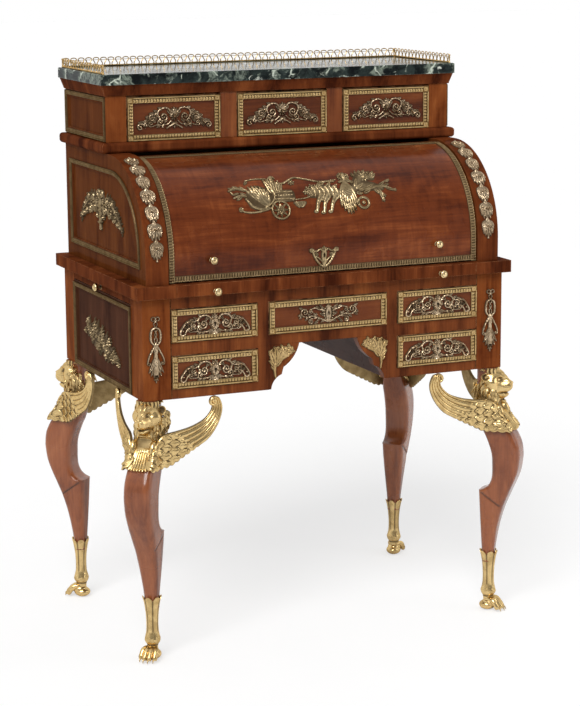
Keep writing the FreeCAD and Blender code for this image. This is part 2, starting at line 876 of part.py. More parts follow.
def spandrel_shape():
    """Bracket in the corner of the kneehole: two hollow curves with a step between them."""
    wall = value("kneehole")
    roof = value("kneehole_roof")
    width = value("spandrel_width")
    drop = value("kneehole_roof - case_bottom - seat_gap")

    def spot(across, down):
        return vec(wall - across * width, -value("half_depth"), roof - down * drop)

    upper = Part.Arc(spot(1, 0.02), spot(0.75, 0.36), spot(0.48, 0.52)).toShape()
    step = Part.LineSegment(spot(0.48, 0.52), spot(0.42, 0.68)).toShape()
    lower = Part.Arc(spot(0.42, 0.68), spot(0.16, 0.82), spot(0.07, 1)).toShape()
    frame = Part.makePolygon([spot(0.07, 1), spot(0, 1), spot(0, 0), spot(1, 0), spot(1, 0.02)])
    outline = Part.Wire(Part.__sortEdges__([upper, step, lower] + frame.Edges))
    return Part.Face(outline).extrude(vec(0, value("spandrel_thickness"), 0))


spandrel_right = solid_feature("spandrel_right", spandrel_shape())
spandrels = group("spandrels", spandrel_right, mirrored("spandrel_left", spandrel_right))


def side_slide():
    """Pull-out board in the side with a turned knob on its edge."""
    board = block(
        "side_slide_board",
        ("side_slide_inner", "half_width"),
        both_ways("side_slide_half"),
        ("side_slide_floor", "side_slide_roof"),
    )
    handle = knob("side_slide_knob", "half_width", "0", "(side_slide_floor + side_slide_roof) / 2", 90)
    return group("side_slide_right", board, handle)


side_slide_right = side_slide()
side_slide_left = mirrored("side_slide_left", side_slide_right)


# Tabletop and writing slide


def tabletop():
    """U-shaped top: end blocks and back, with a groove in each block for the slide's tongue."""
    board = block(
        "top_board",
        both_ways("half_width + top_overhang"),
        both_ways("half_depth + top_overhang"),
        ("case_top", "desk_top"),
    )
    bay = block(
        "slide_bay",
        both_ways("slide_half + running_gap"),
        ("top_front - 1", "slide_back + running_gap"),
        ("case_top - 1", "desk_top + 1"),
    )
    groove = block(
        "slide_groove",
        both_ways("slide_half + tongue_reach + running_gap"),
        ("top_front + groove_margin - running_gap", "slide_back + running_gap"),
        ("tongue_floor - running_gap", "tongue_floor + tongue_height + running_gap"),
    )
    return cut("tabletop", board, bay, groove)


def writing_slide():
    """Board with a short tongue on each side and a sunk bed for the leather."""
    board = block(
        "slide_board",
        both_ways("slide_half"),
        ("top_front", "slide_back"),
        ("case_top + running_gap", "desk_top"),
    )
    tongue = block(
        "slide_tongue",
        both_ways("slide_half + tongue_reach"),
        ("slide_back - tongue_length", "slide_back"),
        ("tongue_floor", "tongue_floor + tongue_height"),
    )
    bed = block("leather_bed", *leather_place, ("desk_top - leather_thickness", "desk_top + 1"))
    return cut("writing_slide", fuse("slide_with_tongues", board, tongue), bed)


leather_place = (
    both_ways("slide_half - leather_margin"),
    ("top_front + leather_margin", "slide_back - leather_margin"),
)
tabletop_piece = tabletop()
slide_piece = writing_slide()
leather = block("slide_leather", *leather_place, ("desk_top - leather_thickness", "desk_top"))


def knob_pair(name, y, z):
    right = knob(name + "_right", "slide_half - knob_inset", y, z)
    return group(name, right, mirrored(name + "_left", right))


slide_knobs = knob_pair("slide_knobs", "top_front", "case_top + running_gap + slide_knob_height")


# Cylinder section


def quarter_round(name, inset, x):
    """Side view of the cylinder section, drawn in by the inset all round."""
    drum = cylinder_on_x(name + "_drum", f"end_radius - {inset}", x)
    back_y = ("axis", f"half_depth - {inset}")
    behind = block(name + "_behind", x, back_y, ("case_bottom", f"waist - {inset}"))
    upright = block(name + "_upright", x, (f"{inset} - half_depth", "axis"), ("case_bottom", "axis_height"))
    room = block(name + "_room", x, both_ways("half_depth"), (f"desk_top + {inset}", "waist"))
    return common(name, fuse(name + "_whole", drum, behind, upright), room)


def cylinder_end():
    """Thick quarter-round end with a sunk panel outside and a bore for the fall's pivot pin."""
    corners = [
        ("-half_depth", "desk_top"),
        ("-half_depth", "axis_height"),
        ("axis", None),
        ("half_depth", "waist"),
        ("half_depth", "desk_top"),
    ]
    board = pad("end_board", "YZ_Plane", corners, "end_inside", "cylinder_half", {1: ("axis", "axis_height")})
    sunk = quarter_round(
        "end_panel", "(panel_inset + moulding_width)", ("cylinder_half - panel_depth", "cylinder_half + 1")
    )
    bore = cylinder_on_x(
        "pin_bore", "pin_radius + seat_gap", ("end_inside - 1", "end_inside + pin_reach + running_gap")
    )
    return cut("cylinder_end_right", board, sunk, bore)


end_right = cylinder_end()
end_left = mirrored("cylinder_end_left", end_right)
cylinder_back = block(
    "cylinder_back", both_ways("end_inside"), ("inside_back", "half_depth"), ("desk_top", "waist")
)


def cylinder_fall():
    """Rolling front: an upright foot that runs into a curved shell."""
    outer = "axis - fall_radius"
    inner = "axis - fall_radius + fall_thickness"
    foot = "desk_top + running_gap"
    swing = "cos(fall_arc * 1 deg)"
    corners = [
        (outer, foot),
        (outer, "axis_height"),
        (f"axis - fall_radius * {swing}", None),
        (f"axis - (fall_radius - fall_thickness) * {swing}", None),
        (inner, "axis_height"),
        (inner, foot),
    ]
    centre = ("axis", "axis_height")
    return pad("cylinder_fall", "YZ_Plane", corners, "-fall_half", "fall_half", {1: centre, 3: centre})


fall = cylinder_fall()


def arm_shape():
    """Flat arm that fans out from a pivot hub to the inside of the fall, with its pin."""
    centre = vec(0, value("axis"), value("axis_height"))
    reach = value("fall_radius - fall_thickness - seat_gap / 2")
    hub = value("arm_hub")
    first, last = (math.radians(value(text)) for text in ("arm_from", "arm_to"))

    def spot(radius, angle):
        return centre + vec(0, -radius * math.cos(angle), radius * math.sin(angle))

    rim = Part.Arc(spot(reach, first), spot(reach, (first + last) / 2), spot(reach, last)).toShape()
    hub_edge = [spot(hub, angle) for angle in spread(last + math.pi / 2, first + 1.5 * math.pi, 6)]
    sides = Part.makePolygon([spot(reach, last), *hub_edge, spot(reach, first)])
    fan = Part.Face(Part.Wire(Part.__sortEdges__([rim] + sides.Edges)))
    window_reach = [0.45 * reach, 0.85 * reach]
    window_angles = [first + (last - first) * share for share in (0.2, 0.8)]
    window = Part.Face(
        Part.makePolygon(
            [
                spot(window_reach[0], window_angles[0]),
                spot(window_reach[1], window_angles[0]),
                spot(window_reach[1], window_angles[1]),
                spot(window_reach[0], window_angles[1]),
                spot(window_reach[0], window_angles[0]),
            ]
        )
    )
    thickness = vec(value("arm_thickness"), 0, 0)
    plate = fan.extrude(thickness).cut(window.extrude(thickness))
    inner_face = value("end_inside - 3 * running_gap - arm_thickness")
    plate.translate(vec(inner_face, 0, 0))
    pin_length = value("end_inside + pin_reach") - inner_face
    pin = Part.makeCylinder(value("pin_radius"), pin_length, centre + vec(inner_face, 0, 0), vec(1, 0, 0))
    return plate.fuse([pin]).removeSplitter()


arm_right = solid_feature("fall_arm_right", arm_shape())
fall_arms = group("fall_arms", arm_right, mirrored("fall_arm_left", arm_right))


def relief_shape():
    """Cartouche that follows the curve of the fall: swelling middle, drawn-in ends."""
    centre = vec(0, value("axis"), value("axis_height"))
    half = value("relief_width") / 2
    radius = value("fall_radius")
    first, last = (math.radians(value(text)) for text in ("relief_from", "relief_to"))
    low = centre.z + radius * math.sin(first)
    high = centre.z + radius * math.sin(last)
    front = centre.y - radius - value("relief_height")

    def spot(across, up):
        return vec(across * half, front, low + up * (high - low))

    edge = [(0.9, 0), (1, 0.22), (0.92, 0.5), (0.62, 0.72), (0.3, 0.93), (0, 1)]
    return shell_piece(two_sided(edge, spot))


def escutcheon_shape():
    """Shield round the keyhole at the foot of the fall."""
    half = value("escutcheon_width") / 2
    height = value("escutcheon_height")
    front = value("axis - fall_radius - relief_height")
    foot = value("axis_height - escutcheon_drop") - height / 2

    def spot(across, up):
        return vec(across * half, front, foot + up * height)

    edge = [(0, 0), (0.45, 0.07), (0.8, 0.26), (1, 0.6), (0.55, 0.9), (0, 1)]
    return shell_piece(two_sided(edge, spot))


def two_sided(edge, spot):
    """Face inside an outline given by its right half and the same points on the left."""
    right = [spot(across, up) for across, up in edge]
    left = [spot(-across, up) for across, up in reversed(edge) if across]
    return Part.Face(Part.makePolygon([*right, *left, right[0]]))


def shell_piece(outline):
    """Part of the layer on the fall's face that lies behind an outline drawn in front of it."""
    centre = vec(-value("fall_half"), value("axis"), value("axis_height"))
    length = value("2 * fall_half")
    radius = value("fall_radius")
    proud = radius + value("relief_height")
    across = vec(1, 0, 0)
    drums = [Part.makeCylinder(size, length, centre, across) for size in (proud, radius)]
    drop = value("fall_straight")
    skins = [Part.makeBox(length, size, drop, centre - vec(0, size, drop)) for size in (proud, radius)]
    layer = drums[0].fuse([skins[0]]).cut(drums[1].fuse([skins[1]]))
    return layer.common(outline.extrude(vec(0, proud, 0)))


fall_mounts = group(
    "fall_mounts",
    solid_feature("fall_relief", relief_shape()),
    solid_feature("fall_escutcheon", escutcheon_shape()),
)
fall_knobs = knob_pair("fall_knobs", "axis - fall_radius", "axis_height - fall_knob_drop")


def fitment():
    """Two rows of pigeonholes inside the sweep of the fall."""
    half = "fitment_half"
    front = "axis + fitment_front"
    floor = "desk_top + running_gap"
    case = block(
        "fitment_case",
        both_ways(half),
        (front, f"{front} + fitment_depth"),
        (floor, f"{floor} + fitment_height"),
    )
    pitch = "(2 * fitment_half - fitment_board) / pigeonholes"
    levels = [
        (f"{floor} + fitment_board", f"{floor} + fitment_board + fitment_shelf"),
        (f"{floor} + 2 * fitment_board + fitment_shelf", f"{floor} + fitment_height - fitment_board"),
    ]
    holes = []
    for column in range(int(value("pigeonholes"))):
        start = f"{column} * {pitch} + fitment_board - {half}"
        end = f"{column + 1} * {pitch} - {half}"
        for row, span in enumerate(levels):
            depth = (f"{front} - 1", f"{front} + fitment_depth - fitment_board")
            holes.append(block(f"pigeonhole_{column}_{row}", (start, end), depth, span))
    return cut("interior_fitment", case, *holes)


fitment_piece = fitment()


# Upper case and top


def edge_fillet(body, name, levels, radius):
    """Rounds the level edges of a body at the given heights of its own frame."""
    doc.recompute()
    base = body.Tip
    picked = []
    for number, edge in enumerate(base.Shape.Edges, start=1):
        heights = [vertex.Point.z for vertex in edge.Vertexes]
        if any(max(abs(z - level) for z in heights) < 1e-6 for level in levels):
            picked.append(f"Edge{number}")
    rounded = body.newObject("PartDesign::Fillet", name)
    rounded.Base = (base, picked)
    rounded.setExpression("Radius", formula(radius))
    return body


def slab(name, half, y, z):
    return pad(name, "XY_Plane", rectangle(both_ways(half), y), *z)


waist_board = slab(
    "waist_board",
    "upper_half + waist_overhang",
    ("upper_front - waist_overhang", "half_depth + waist_overhang"),
    ("waist", "upper_floor"),
)
edge_fillet(waist_board, "waist_edge", (0, value("waist_thickness")), "waist_round")


def upper_side():
    """Side with its front stile and a strip that guides the outer drawer."""
    face = "upper_front + upper_thickness"
    wall = "upper_half - upper_thickness"
    corners = [
        ("upper_bay_outer", "upper_front"),
        ("upper_half", "upper_front"),
        ("upper_half", "half_depth"),
        (wall, "half_depth"),
        (wall, face),
        ("upper_bay_outer", face),
    ]
    board = pad("upper_side_board", "XY_Plane", corners, "upper_floor", "upper_roof")
    strip = block(
        "upper_side_guide",
        ("upper_bay_outer", wall),
        (face, "inside_back"),
        ("upper_floor", "upper_floor + guide_height"),
    )
    sunk = block(
        "upper_panel",
        ("upper_half - panel_depth", "upper_half + 1"),
        ("upper_front + upper_sunk", "half_depth - upper_sunk"),
        ("upper_floor + upper_sunk", "upper_roof - upper_sunk"),
    )
    return cut("upper_side_right", fuse("upper_side_whole", board, strip), sunk)


upper_side_right = upper_side()
upper_side_left = mirrored("upper_side_left", upper_side_right)


def upper_divider():
    """Stile between two drawers, its web and a guide strip on each side of the web."""
    face = "upper_front + upper_thickness"
    inner = "upper_centre_width / 2"
    middle = "upper_centre_width / 2 + upper_stile / 2"
    height = ("upper_floor", "upper_roof")
    stile = block("upper_stile_board", (inner, "upper_bay_inner"), ("upper_front", face), height)
    web = block(
        "upper_web_board",
        (f"{middle} - upper_web / 2", f"{middle} + upper_web / 2"),
        (face, "inside_back"),
        height,
    )
    strip = block(
        "upper_divider_guide",
        (inner, "upper_bay_inner"),
        (face, "inside_back"),
        ("upper_floor", "upper_floor + guide_height"),
    )
    return fuse("upper_divider_right", stile, web, strip)


divider_right = upper_divider()
upper_dividers = group("upper_dividers", divider_right, mirrored("upper_divider_left", divider_right))
upper_back = block(
    "upper_back",
    both_ways("upper_half - upper_thickness"),
    ("inside_back", "half_depth"),
    ("upper_floor", "upper_roof"),
)


def cornice():
    """Bevelled board: flares outward from the upper case to the marble."""
    body = doc.addObject("PartDesign::Body", "cornice")
    sketches = []
    for name, step, height in (
        ("cornice_foot", "cornice_step", "0"),
        ("cornice_head", "cornice_step + cornice_flare", "cornice_height"),
    ):
        outline = rectangle(
            both_ways(f"upper_half + {step}"), (f"upper_front - ({step})", f"half_depth + {step}")
        )
        sketch = profile(body, name, "XY_Plane", outline)
        sketch.setExpression("AttachmentOffset.Base.z", formula(height))
        sketches.append(sketch)
    loft = body.newObject("PartDesign::AdditiveLoft", "cornice_loft")
    loft.Profile = sketches[0]
    loft.Sections = sketches[1:]
    loft.Ruled = True
    body.setExpression("Placement.Base.z", formula("upper_roof"))
    return body


cornice_piece = cornice()
marble = slab("marble_top", "marble_half", ("marble_front", "marble_back"), ("marble_floor", "marble_face"))
edge_fillet(marble, "marble_edge", (value("marble_thickness"),), "marble_round")


def gallery_strip(name, start, end):
    """Strip along X, pierced with a row of diamonds."""
    body = doc.addObject("PartDesign::Body", name)
    outline = rectangle((start, end), ("0", "gallery_height"))
    strip = body.newObject("PartDesign::Pad", name + "_pad")
    strip.Profile = profile(body, name + "_profile", "XZ_Plane", outline)
    strip.setExpression("Length", formula("gallery_thickness"))
    doc.recompute()
    margin = "gallery_pitch"
    middle = f"({start}) + {margin}"
    half = "0.32 * gallery_pitch"
    floor = "gallery_rail"
    roof = "gallery_height - gallery_rail"
    diamond = [
        (f"{middle} - {half}", f"({floor} + {roof}) / 2"),
        (middle, floor),
        (f"{middle} + {half}", f"({floor} + {roof}) / 2"),
        (middle, roof),
    ]
    plain_volume = body.Shape.Volume
    hole = body.newObject("PartDesign::Pocket", name + "_diamond")
    hole.Profile = profile(body, name + "_diamond_profile", "XZ_Plane", diamond)
    hole.Type = 1
    hole.Midplane = True
    doc.recompute()
    if body.Shape.Volume >= plain_volume:
        raise RuntimeError(name + ": the piercing cuts nothing")
    pattern = body.newObject("PartDesign::LinearPattern", name + "_pattern")
    pattern.Originals = [hole]
    pattern.Direction = (origin_feature(body, "X_Axis"), [""])
    count = f"floor((({end}) - ({start}) - 2 * {margin}) / gallery_pitch)"
    pattern.setExpression("Occurrences", formula(f"{count} + 1"))
    pattern.setExpression("Length", formula(f"{count} * gallery_pitch"))
    body.Tip = pattern
    return body


def gallery():
    """Pierced gallery on the sides and the back of the marble."""
    back = gallery_strip("gallery_back_strip", "-gallery_half", "gallery_half")
    back.setExpression("Placement.Base.y", formula("gallery_back"))
    back.setExpression("Placement.Base.z", formula("marble_face"))
    side = gallery_strip("gallery_side_strip", "gallery_front", "gallery_back - 2 * gallery_thickness")
    side.Placement.Rotation = FreeCAD.Rotation(vec(0, 0, 1), 90)
    side.setExpression("Placement.Base.x", formula("gallery_half - gallery_thickness"))
    side.setExpression("Placement.Base.z", formula("marble_face"))
    return group("gallery", back, side, mirrored("gallery_left_strip", side))


gallery_piece = gallery()


# Gilt mouldings and mounts of the right half of the case


def stile_mount_shape():
    """Bow, open wreath and bell with a drop, flat on the corner stile."""
    middle = value("half_width - stile_mount_inset")
    half = value("stile_mount_width") / 2
    foot = value("case_bottom + stile_mount_foot")
    height = value("stile_mount_height")

    def spot(across, up):
        return vec(middle + across * half, -value("half_depth"), foot + up * height)

    edge = [(0, 0), (0.3, 0.05), (0.2, 0.11), (0.85, 0.14), (0.95, 0.26), (0.9, 0.34), (0.3, 0.48),
            (0.6, 0.58), (0.68, 0.7), (0.45, 0.82), (0.15, 0.86), (0.5, 0.92), (0.45, 1), (0, 0.97)]
    window = [(0, 0.56), (0.25, 0.6), (0.32, 0.7), (0.2, 0.79), (0, 0.81)]
    proud = vec(0, -value("mount_thickness"), 0)
    return two_sided(edge, spot).extrude(proud).cut(two_sided(window, spot).extrude(proud))


def leaf_chain_shape():
    """Pointed leaves hung one under another down the curved edge of the cylinder end."""
    first, last = value("chain_from"), value("chain_to")
    count = int(value("chain_drops"))
    radius = value("end_radius + seat_gap / 2")
    pitch = radius * math.radians(last - first) / (count - 1)
    length = pitch - value("chain_gap")
    half = value("chain_width") / 2
    middle = value("(end_inside + cylinder_half) / 2")
    centre = vec(middle, value("axis"), value("axis_height"))

    def spot(across, up):
        return centre + vec(across * half, -radius, (up - 0.5) * length)

    edge = [(0, 0), (0.45, 0.22), (1, 0.6), (0.6, 0.68), (0.5, 1), (0, 0.9)]
    leaves = []
    for angle in spread(first, last, count):
        leaf = two_sided(edge, spot).extrude(vec(0, -value("mount_thickness"), 0))
        leaf.rotate(centre, vec(1, 0, 0), -angle)
        leaves.append(leaf)
    return Part.makeCompound(leaves)


def spray_shape():
    """Leaning spray of leaves on the lower panel, high at the back and low at the front."""
    panel = value("half_width - panel_depth")
    half = value("spray_width") / 2
    level = value("case_bottom + spray_level")
    height = value("spray_height")
    edge = [(-1, 0.72), (-0.8, 1), (-0.45, 0.92), (-0.05, 0.74), (0.4, 0.52), (0.75, 0.36), (1, 0.02),
            (0.7, 0.08), (0.3, 0.2), (-0.1, 0.3), (-0.5, 0.42), (-0.85, 0.5)]
    corners = [vec(panel, -along * half, level + (up - 0.5) * height) for along, up in edge]
    face = Part.Face(Part.makePolygon([*corners, corners[0]]))
    return face.extrude(vec(value("mount_thickness"), 0, 0))


def trophy_shape():
    """Upright torch with a bow between two wreathed wings, on the quarter-round panel."""
    panel = value("cylinder_half - panel_depth")
    half = value("trophy_width") / 2
    middle = value("axis + trophy_back")
    level = value("axis_height + trophy_level")
    height = value("trophy_height")

    def spot(across, up):
        return vec(panel, middle + across * half, level + (up - 0.5) * height)

    edge = [(0, 0), (0.06, 0.1), (0.07, 0.42), (0.3, 0.3), (0.62, 0.26), (0.9, 0.1), (1, 0.12), (0.96, 0.32),
            (0.74, 0.6), (0.45, 0.78), (0.2, 0.74), (0.15, 0.9), (0.06, 0.98), (0, 1)]
    return two_sided(edge, spot).extrude(vec(value("mount_thickness"), 0, 0))


def ring(name, x, y, z):
    """Plain moulding round a panel on the right side."""
    outer = block(name + "_outer", x, y, z)
    inner_y = (f"({y[0]}) + moulding_width", f"({y[1]}) - moulding_width")
    inner_z = (f"({z[0]}) + moulding_width", f"({z[1]}) - moulding_width")
    inner = block(name + "_inner", (f"({x[0]}) - 1", f"({x[1]}) + 1"), inner_y, inner_z)
    return cut(name, outer, inner)


def side_mouldings():
    """Frames of the lower, the quarter-round and the upper panel, and the mounts of that half."""
    lower = ring(
        "lower_moulding",
        ("half_width", "half_width + moulding_height"),
        both_ways("side_slide_half"),
        ("case_bottom + moulding_margin", "high_row_top"),
    )
    face = ("cylinder_half", "cylinder_half + moulding_height")
    outer = quarter_round("end_moulding_outer", "panel_inset", face)
    wide = ("cylinder_half - 1", "cylinder_half + moulding_height + 1")
    inner = quarter_round("end_moulding_inner", "(panel_inset + moulding_width)", wide)
    curved = cut("end_moulding", outer, inner)
    upper = ring(
        "upper_moulding",
        ("upper_half", "upper_half + moulding_height"),
        ("upper_front + moulding_margin", "half_depth - moulding_margin"),
        ("upper_floor + moulding_margin", "upper_roof - moulding_margin"),
    )
    mounts = [
        solid_feature("stile_mount_right", stile_mount_shape()),
        solid_feature("leaf_chain_right", leaf_chain_shape()),
        solid_feature("spray_right", spray_shape()),
        solid_feature("trophy_right", trophy_shape()),
    ]
    return group("side_mouldings_right", lower, curved, upper, *mounts)


mouldings_right = side_mouldings()
mouldings_left = mirrored("side_mouldings_left", mouldings_right)


# Drawers


def drawer(name, x, z, front, back):
    """Drawer box open at the top, its front as thick as the walls are thin."""
    gap = "running_gap"
    wide = (f"({x[0]}) + {gap}", f"({x[1]}) - {gap}")
    high = (f"({z[0]}) + {gap}", f"({z[1]}) - {gap}")
    box = block(name + "_box", wide, (front, f"{back} - drawer_clearance"), high)
    hollow = block(
        name + "_hollow",
        (f"{wide[0]} + drawer_side", f"{wide[1]} - drawer_side"),
        (f"{front} + drawer_front", f"{back} - drawer_clearance - drawer_side"),
        (f"{high[0]} + drawer_bottom", f"{high[1]} + 1"),
    )
    return cut(name, box, hollow)


def frame_moulding(name, x, z, front):
    """Gilt frame on the edge of a drawer front, its inner side bevelled."""
    gap = "running_gap"
    low_x, high_x = f"({x[0]}) + {gap}", f"({x[1]}) - {gap}"
    low_z, high_z = f"({z[0]}) + {gap}", f"({z[1]}) - {gap}"
    bar = block(name + "_bar", (low_x, high_x), (f"{front} - frame_height", front), (low_z, high_z))
    opening = doc.addObject("Part::Wedge", name + "_opening")
    sides = {
        "Xmin": f"{low_x} + frame_width - frame_bevel",
        "Xmax": f"{high_x} - frame_width + frame_bevel",
        "Zmin": f"{low_z} + frame_width - frame_bevel",
        "Zmax": f"{high_z} - frame_width + frame_bevel",
        "X2min": f"{low_x} + frame_width",
        "X2max": f"{high_x} - frame_width",
        "Z2min": f"{low_z} + frame_width",
        "Z2max": f"{high_z} - frame_width",
        "Ymin": f"{front} - frame_height",
        "Ymax": front,
    }
    for side, text in sides.items():
        opening.setExpression(side, formula(text))
    return cut(name, bar, opening)


def mount_shape(x, z, front, beside, above):
    """Arched swag with a boss at its middle, flat on the drawer front."""
    middle = (value(x[0]) + value(x[1])) / 2
    level = (value(z[0]) + value(z[1])) / 2
    edge = value("running_gap + frame_width")
    half = (value(x[1]) - value(x[0])) / 2 - edge - value(beside)
    tall = value(z[1]) - value(z[0]) - 2 * (edge + value(above))
    face = value(front)

    def spot(across, up):
        return vec(middle + across * half, face, level + (up - 0.5) * tall)

    # eight-sided boss, in shares of the mount's height
    lozenge = [(0.34, 0.65), (0.15, 0.86), (-0.15, 0.86), (-0.34, 0.65)]
    lozenge += [(-0.34, 0.35), (-0.15, 0.14), (0.15, 0.14), (0.34, 0.35), (0.34, 0.65)]

    outline = [(0, 0.42), (0.4, 0.31), (0.72, 0), (1, 0), (0.88, 0.36), (0.66, 0.68), (0.36, 0.92), (0, 1)]
    arch = two_sided(outline, spot)
    proud = vec(0, -value("mount_thickness"), 0)
    boss = Part.Face(Part.makePolygon([spot(across * tall / half, up) for across, up in lozenge]))
    return arch.extrude(proud).fuse([boss.extrude(proud)]).removeSplitter()


def drawer_set(place, x, z, front, back, mount):
    """Drawer and its gilt trim, named after its place."""
    box = drawer(f"drawer_{place}", x, z, front, back)
    frame = frame_moulding(f"frame_{place}", x, z, front)
    ornament = solid_feature(f"mount_{place}", mount_shape(x, z, front, *mount))
    return box, group(f"drawer_trim_{place}", frame, ornament)


drawers = []
side_mount = ("side_mount_beside", "side_mount_above")
upper_mount = ("upper_mount_beside", "upper_mount_above")
for level, span in rows.items():
    pair = drawer_set(f"{level}_row_right", side_bay, span, "-half_depth", "inside_back", side_mount)
    twins = [mirrored(piece.Name.replace("right", "left"), piece) for piece in pair]
    drawers += [*pair, *twins]
centre_mount = ("centre_mount_beside", "centre_mount_above")
centre_bay = both_ways("kneehole")
drawers += drawer_set("centre", centre_bay, rows["upper"], "-half_depth", "inside_back", centre_mount)
top_span = ("upper_floor", "upper_bay_top")
top_pair = drawer_set(
    "top_right", ("upper_bay_inner", "upper_bay_outer"), top_span, "upper_front", "inside_back", upper_mount
)
drawers += [*top_pair, *[mirrored(piece.Name.replace("right", "left"), piece) for piece in top_pair]]
drawers += drawer_set(
    "top_centre", both_ways("upper_centre_width / 2"), top_span, "upper_front", "inside_back", upper_mount
)

# Check every object, then write one file for each piece.

pieces = [
    *legs,
    *lions,
    *sabots,
    lower_side_right,
    lower_side_left,
    face_frame_piece,
    lower_back,
    kneehole_walls,
    bearers,
    dust_board,
    spandrels,
    side_slide_right,
    side_slide_left,
    tabletop_piece,
    slide_piece,
    leather,
    slide_knobs,
    end_right,
    end_left,
    cylinder_back,
    fall,
    fall_arms,
    fall_mounts,
    fall_knobs,
    fitment_piece,
    waist_board,
    upper_side_right,
    upper_side_left,
    upper_dividers,
    upper_back,
    cornice_piece,
    marble,
    gallery_piece,
    mouldings_right,
    mouldings_left,
    *drawers,
]

doc.recompute()
for item in doc.Objects:
    if {"Invalid", "Error"} & set(item.State):
        raise RuntimeError(f"{item.Name} failed: {item.State}")
for piece in pieces:
    if piece.Shape.isNull() or not piece.Shape.isValid() or not piece.Shape.Solids:
        raise RuntimeError(f"{piece.Label} has no valid solid")

os.makedirs("parts", exist_ok=True)
for piece in pieces:
    piece.Shape.exportStep(f"parts/{piece.Label}.step")
print(f"{len(pieces)} pieces written")
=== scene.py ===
import bpy
import math
import numpy as np
from mathutils import Matrix, Vector


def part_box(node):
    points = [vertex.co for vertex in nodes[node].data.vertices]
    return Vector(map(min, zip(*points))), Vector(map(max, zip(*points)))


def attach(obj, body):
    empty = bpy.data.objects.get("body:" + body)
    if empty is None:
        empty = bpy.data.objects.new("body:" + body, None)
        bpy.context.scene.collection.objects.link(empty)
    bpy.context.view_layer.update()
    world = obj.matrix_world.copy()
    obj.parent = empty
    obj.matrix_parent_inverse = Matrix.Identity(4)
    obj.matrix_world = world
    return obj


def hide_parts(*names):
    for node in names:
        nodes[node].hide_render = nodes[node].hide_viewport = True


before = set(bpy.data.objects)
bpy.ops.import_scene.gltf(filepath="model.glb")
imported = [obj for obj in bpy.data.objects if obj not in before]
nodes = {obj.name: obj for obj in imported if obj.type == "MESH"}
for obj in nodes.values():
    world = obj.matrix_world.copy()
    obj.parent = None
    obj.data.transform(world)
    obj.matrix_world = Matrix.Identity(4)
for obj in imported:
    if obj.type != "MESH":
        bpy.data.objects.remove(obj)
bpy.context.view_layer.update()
scene = bpy.context.scene
tau = 2 * math.pi
print("frame loaded with", len(nodes), "nodes")

# places that several pieces share, in millimetres
desk = {
    "halfWidth": 409,
    "halfDepth": 249,
    "caseFloor": 548,
    "axisY": -52,
    "axisZ": 828.6,
    "fallRadius": 191.5,
    "endRadius": 197,
}


# a shell is one closed surface: points in millimetres, faces, and how much dirt and painted shade each point
# holds
def shell(points, quads, tris=None, dirtAndShade=None):
    points = np.asarray(points, float).reshape(-1, 3)
    quads = np.asarray(quads, int).reshape(-1, 4)
    tris = np.zeros((0, 3), int) if tris is None else np.asarray(tris, int)
    dirtAndShade = np.zeros(len(points)) if dirtAndShade is None else np.asarray(dirtAndShade, float).ravel()
    return {"points": points, "quads": quads, "tris": tris, "dirtAndShade": dirtAndShade}


def gridQuads(rows, columns, wrap=False):
    # quads between the neighbours of a grid numbered row by row; wrap joins the last column to the first
    across = np.arange(columns if wrap else columns - 1)
    down, across = np.meshgrid(np.arange(rows - 1), across, indexing="ij")
    beside = (across + 1) % columns
    corners = [down * columns + across, down * columns + beside,
               (down + 1) * columns + beside, (down + 1) * columns + across]
    return np.stack(corners, -1).reshape(-1, 4)


def skin(grid, dirtAndShade=None):
    # each row of the grid is a ring; a point in the middle of the first and of the last ring closes the skin
    rows, columns = grid.shape[:2]
    points = np.vstack([grid.reshape(-1, 3), grid[0].mean(0), grid[-1].mean(0)])
    ring = np.arange(columns)
    beside = (ring + 1) % columns
    first = np.stack([np.full(columns, rows * columns), beside, ring], -1)
    end = (rows - 1) * columns
    last = np.stack([np.full(columns, rows * columns + 1), end + ring, end + beside], -1)
    if dirtAndShade is not None:
        dirtAndShade = np.concatenate([np.ravel(dirtAndShade), [np.mean(dirtAndShade[0]), np.mean(dirtAndShade[-1])]])
    return shell(points, gridQuads(rows, columns, True), np.vstack([first, last]), dirtAndShade)


def hoop(grid, dirtAndShade):
    # a grid closed both ways: each row is a loop, and the last row joins the first
    rows, columns = grid.shape[:2]
    quads = gridQuads(rows + 1, columns, True) % (rows * columns)
    return shell(grid, quads, None, dirtAndShade)


def plate(front, back, dirtAndShade=None):
    # a front and a back grid of the same size, joined round their edge
    rows, columns = front.shape[:2]
    count = rows * columns
    quads = gridQuads(rows, columns)
    number = np.arange(count).reshape(rows, columns)
    edge = np.concatenate([number[0, :-1], number[:-1, -1], number[-1, :0:-1], number[:0:-1, 0]])
    ahead = np.roll(edge, -1)
    wall = np.stack([ahead, edge, edge + count, ahead + count], -1)
    points = np.vstack([front.reshape(-1, 3), back.reshape(-1, 3)])
    if dirtAndShade is not None:
        dirtAndShade = np.concatenate([np.ravel(dirtAndShade), np.full(count, 0.5)])
    return shell(points, np.vstack([quads, quads[:, ::-1] + count, wall]), None, dirtAndShade)


def unit(vectors):
    # each vector divided by its length
    return vectors / np.maximum(np.linalg.norm(vectors, axis=-1, keepdims=True), 1e-9)


def tube(path, radius, sides=8, up=(0, 0, 1), flat=1.0, dirtAndShade=0.0, lobes=0):
    # ring k = path k + radius k * (cos a * side + flat * sin a * over), with a few lobes round the section
    path = np.asarray(path, float)
    along = unit(np.gradient(path, axis=0))
    side = unit(np.cross(along, up))
    over = np.cross(side, along)
    angle = np.linspace(0, tau, sides, endpoint=False)
    size = np.broadcast_to(radius, len(path))[:, None] * (1 + 0.2 * np.cos(lobes * angle) * (lobes > 0))
    grid = path[:, None] + size[..., None] * (np.cos(angle)[:, None] * side[:, None]
                                              + flat * np.sin(angle)[:, None] * over[:, None])
    return skin(grid, np.full(grid.shape[:2], dirtAndShade))


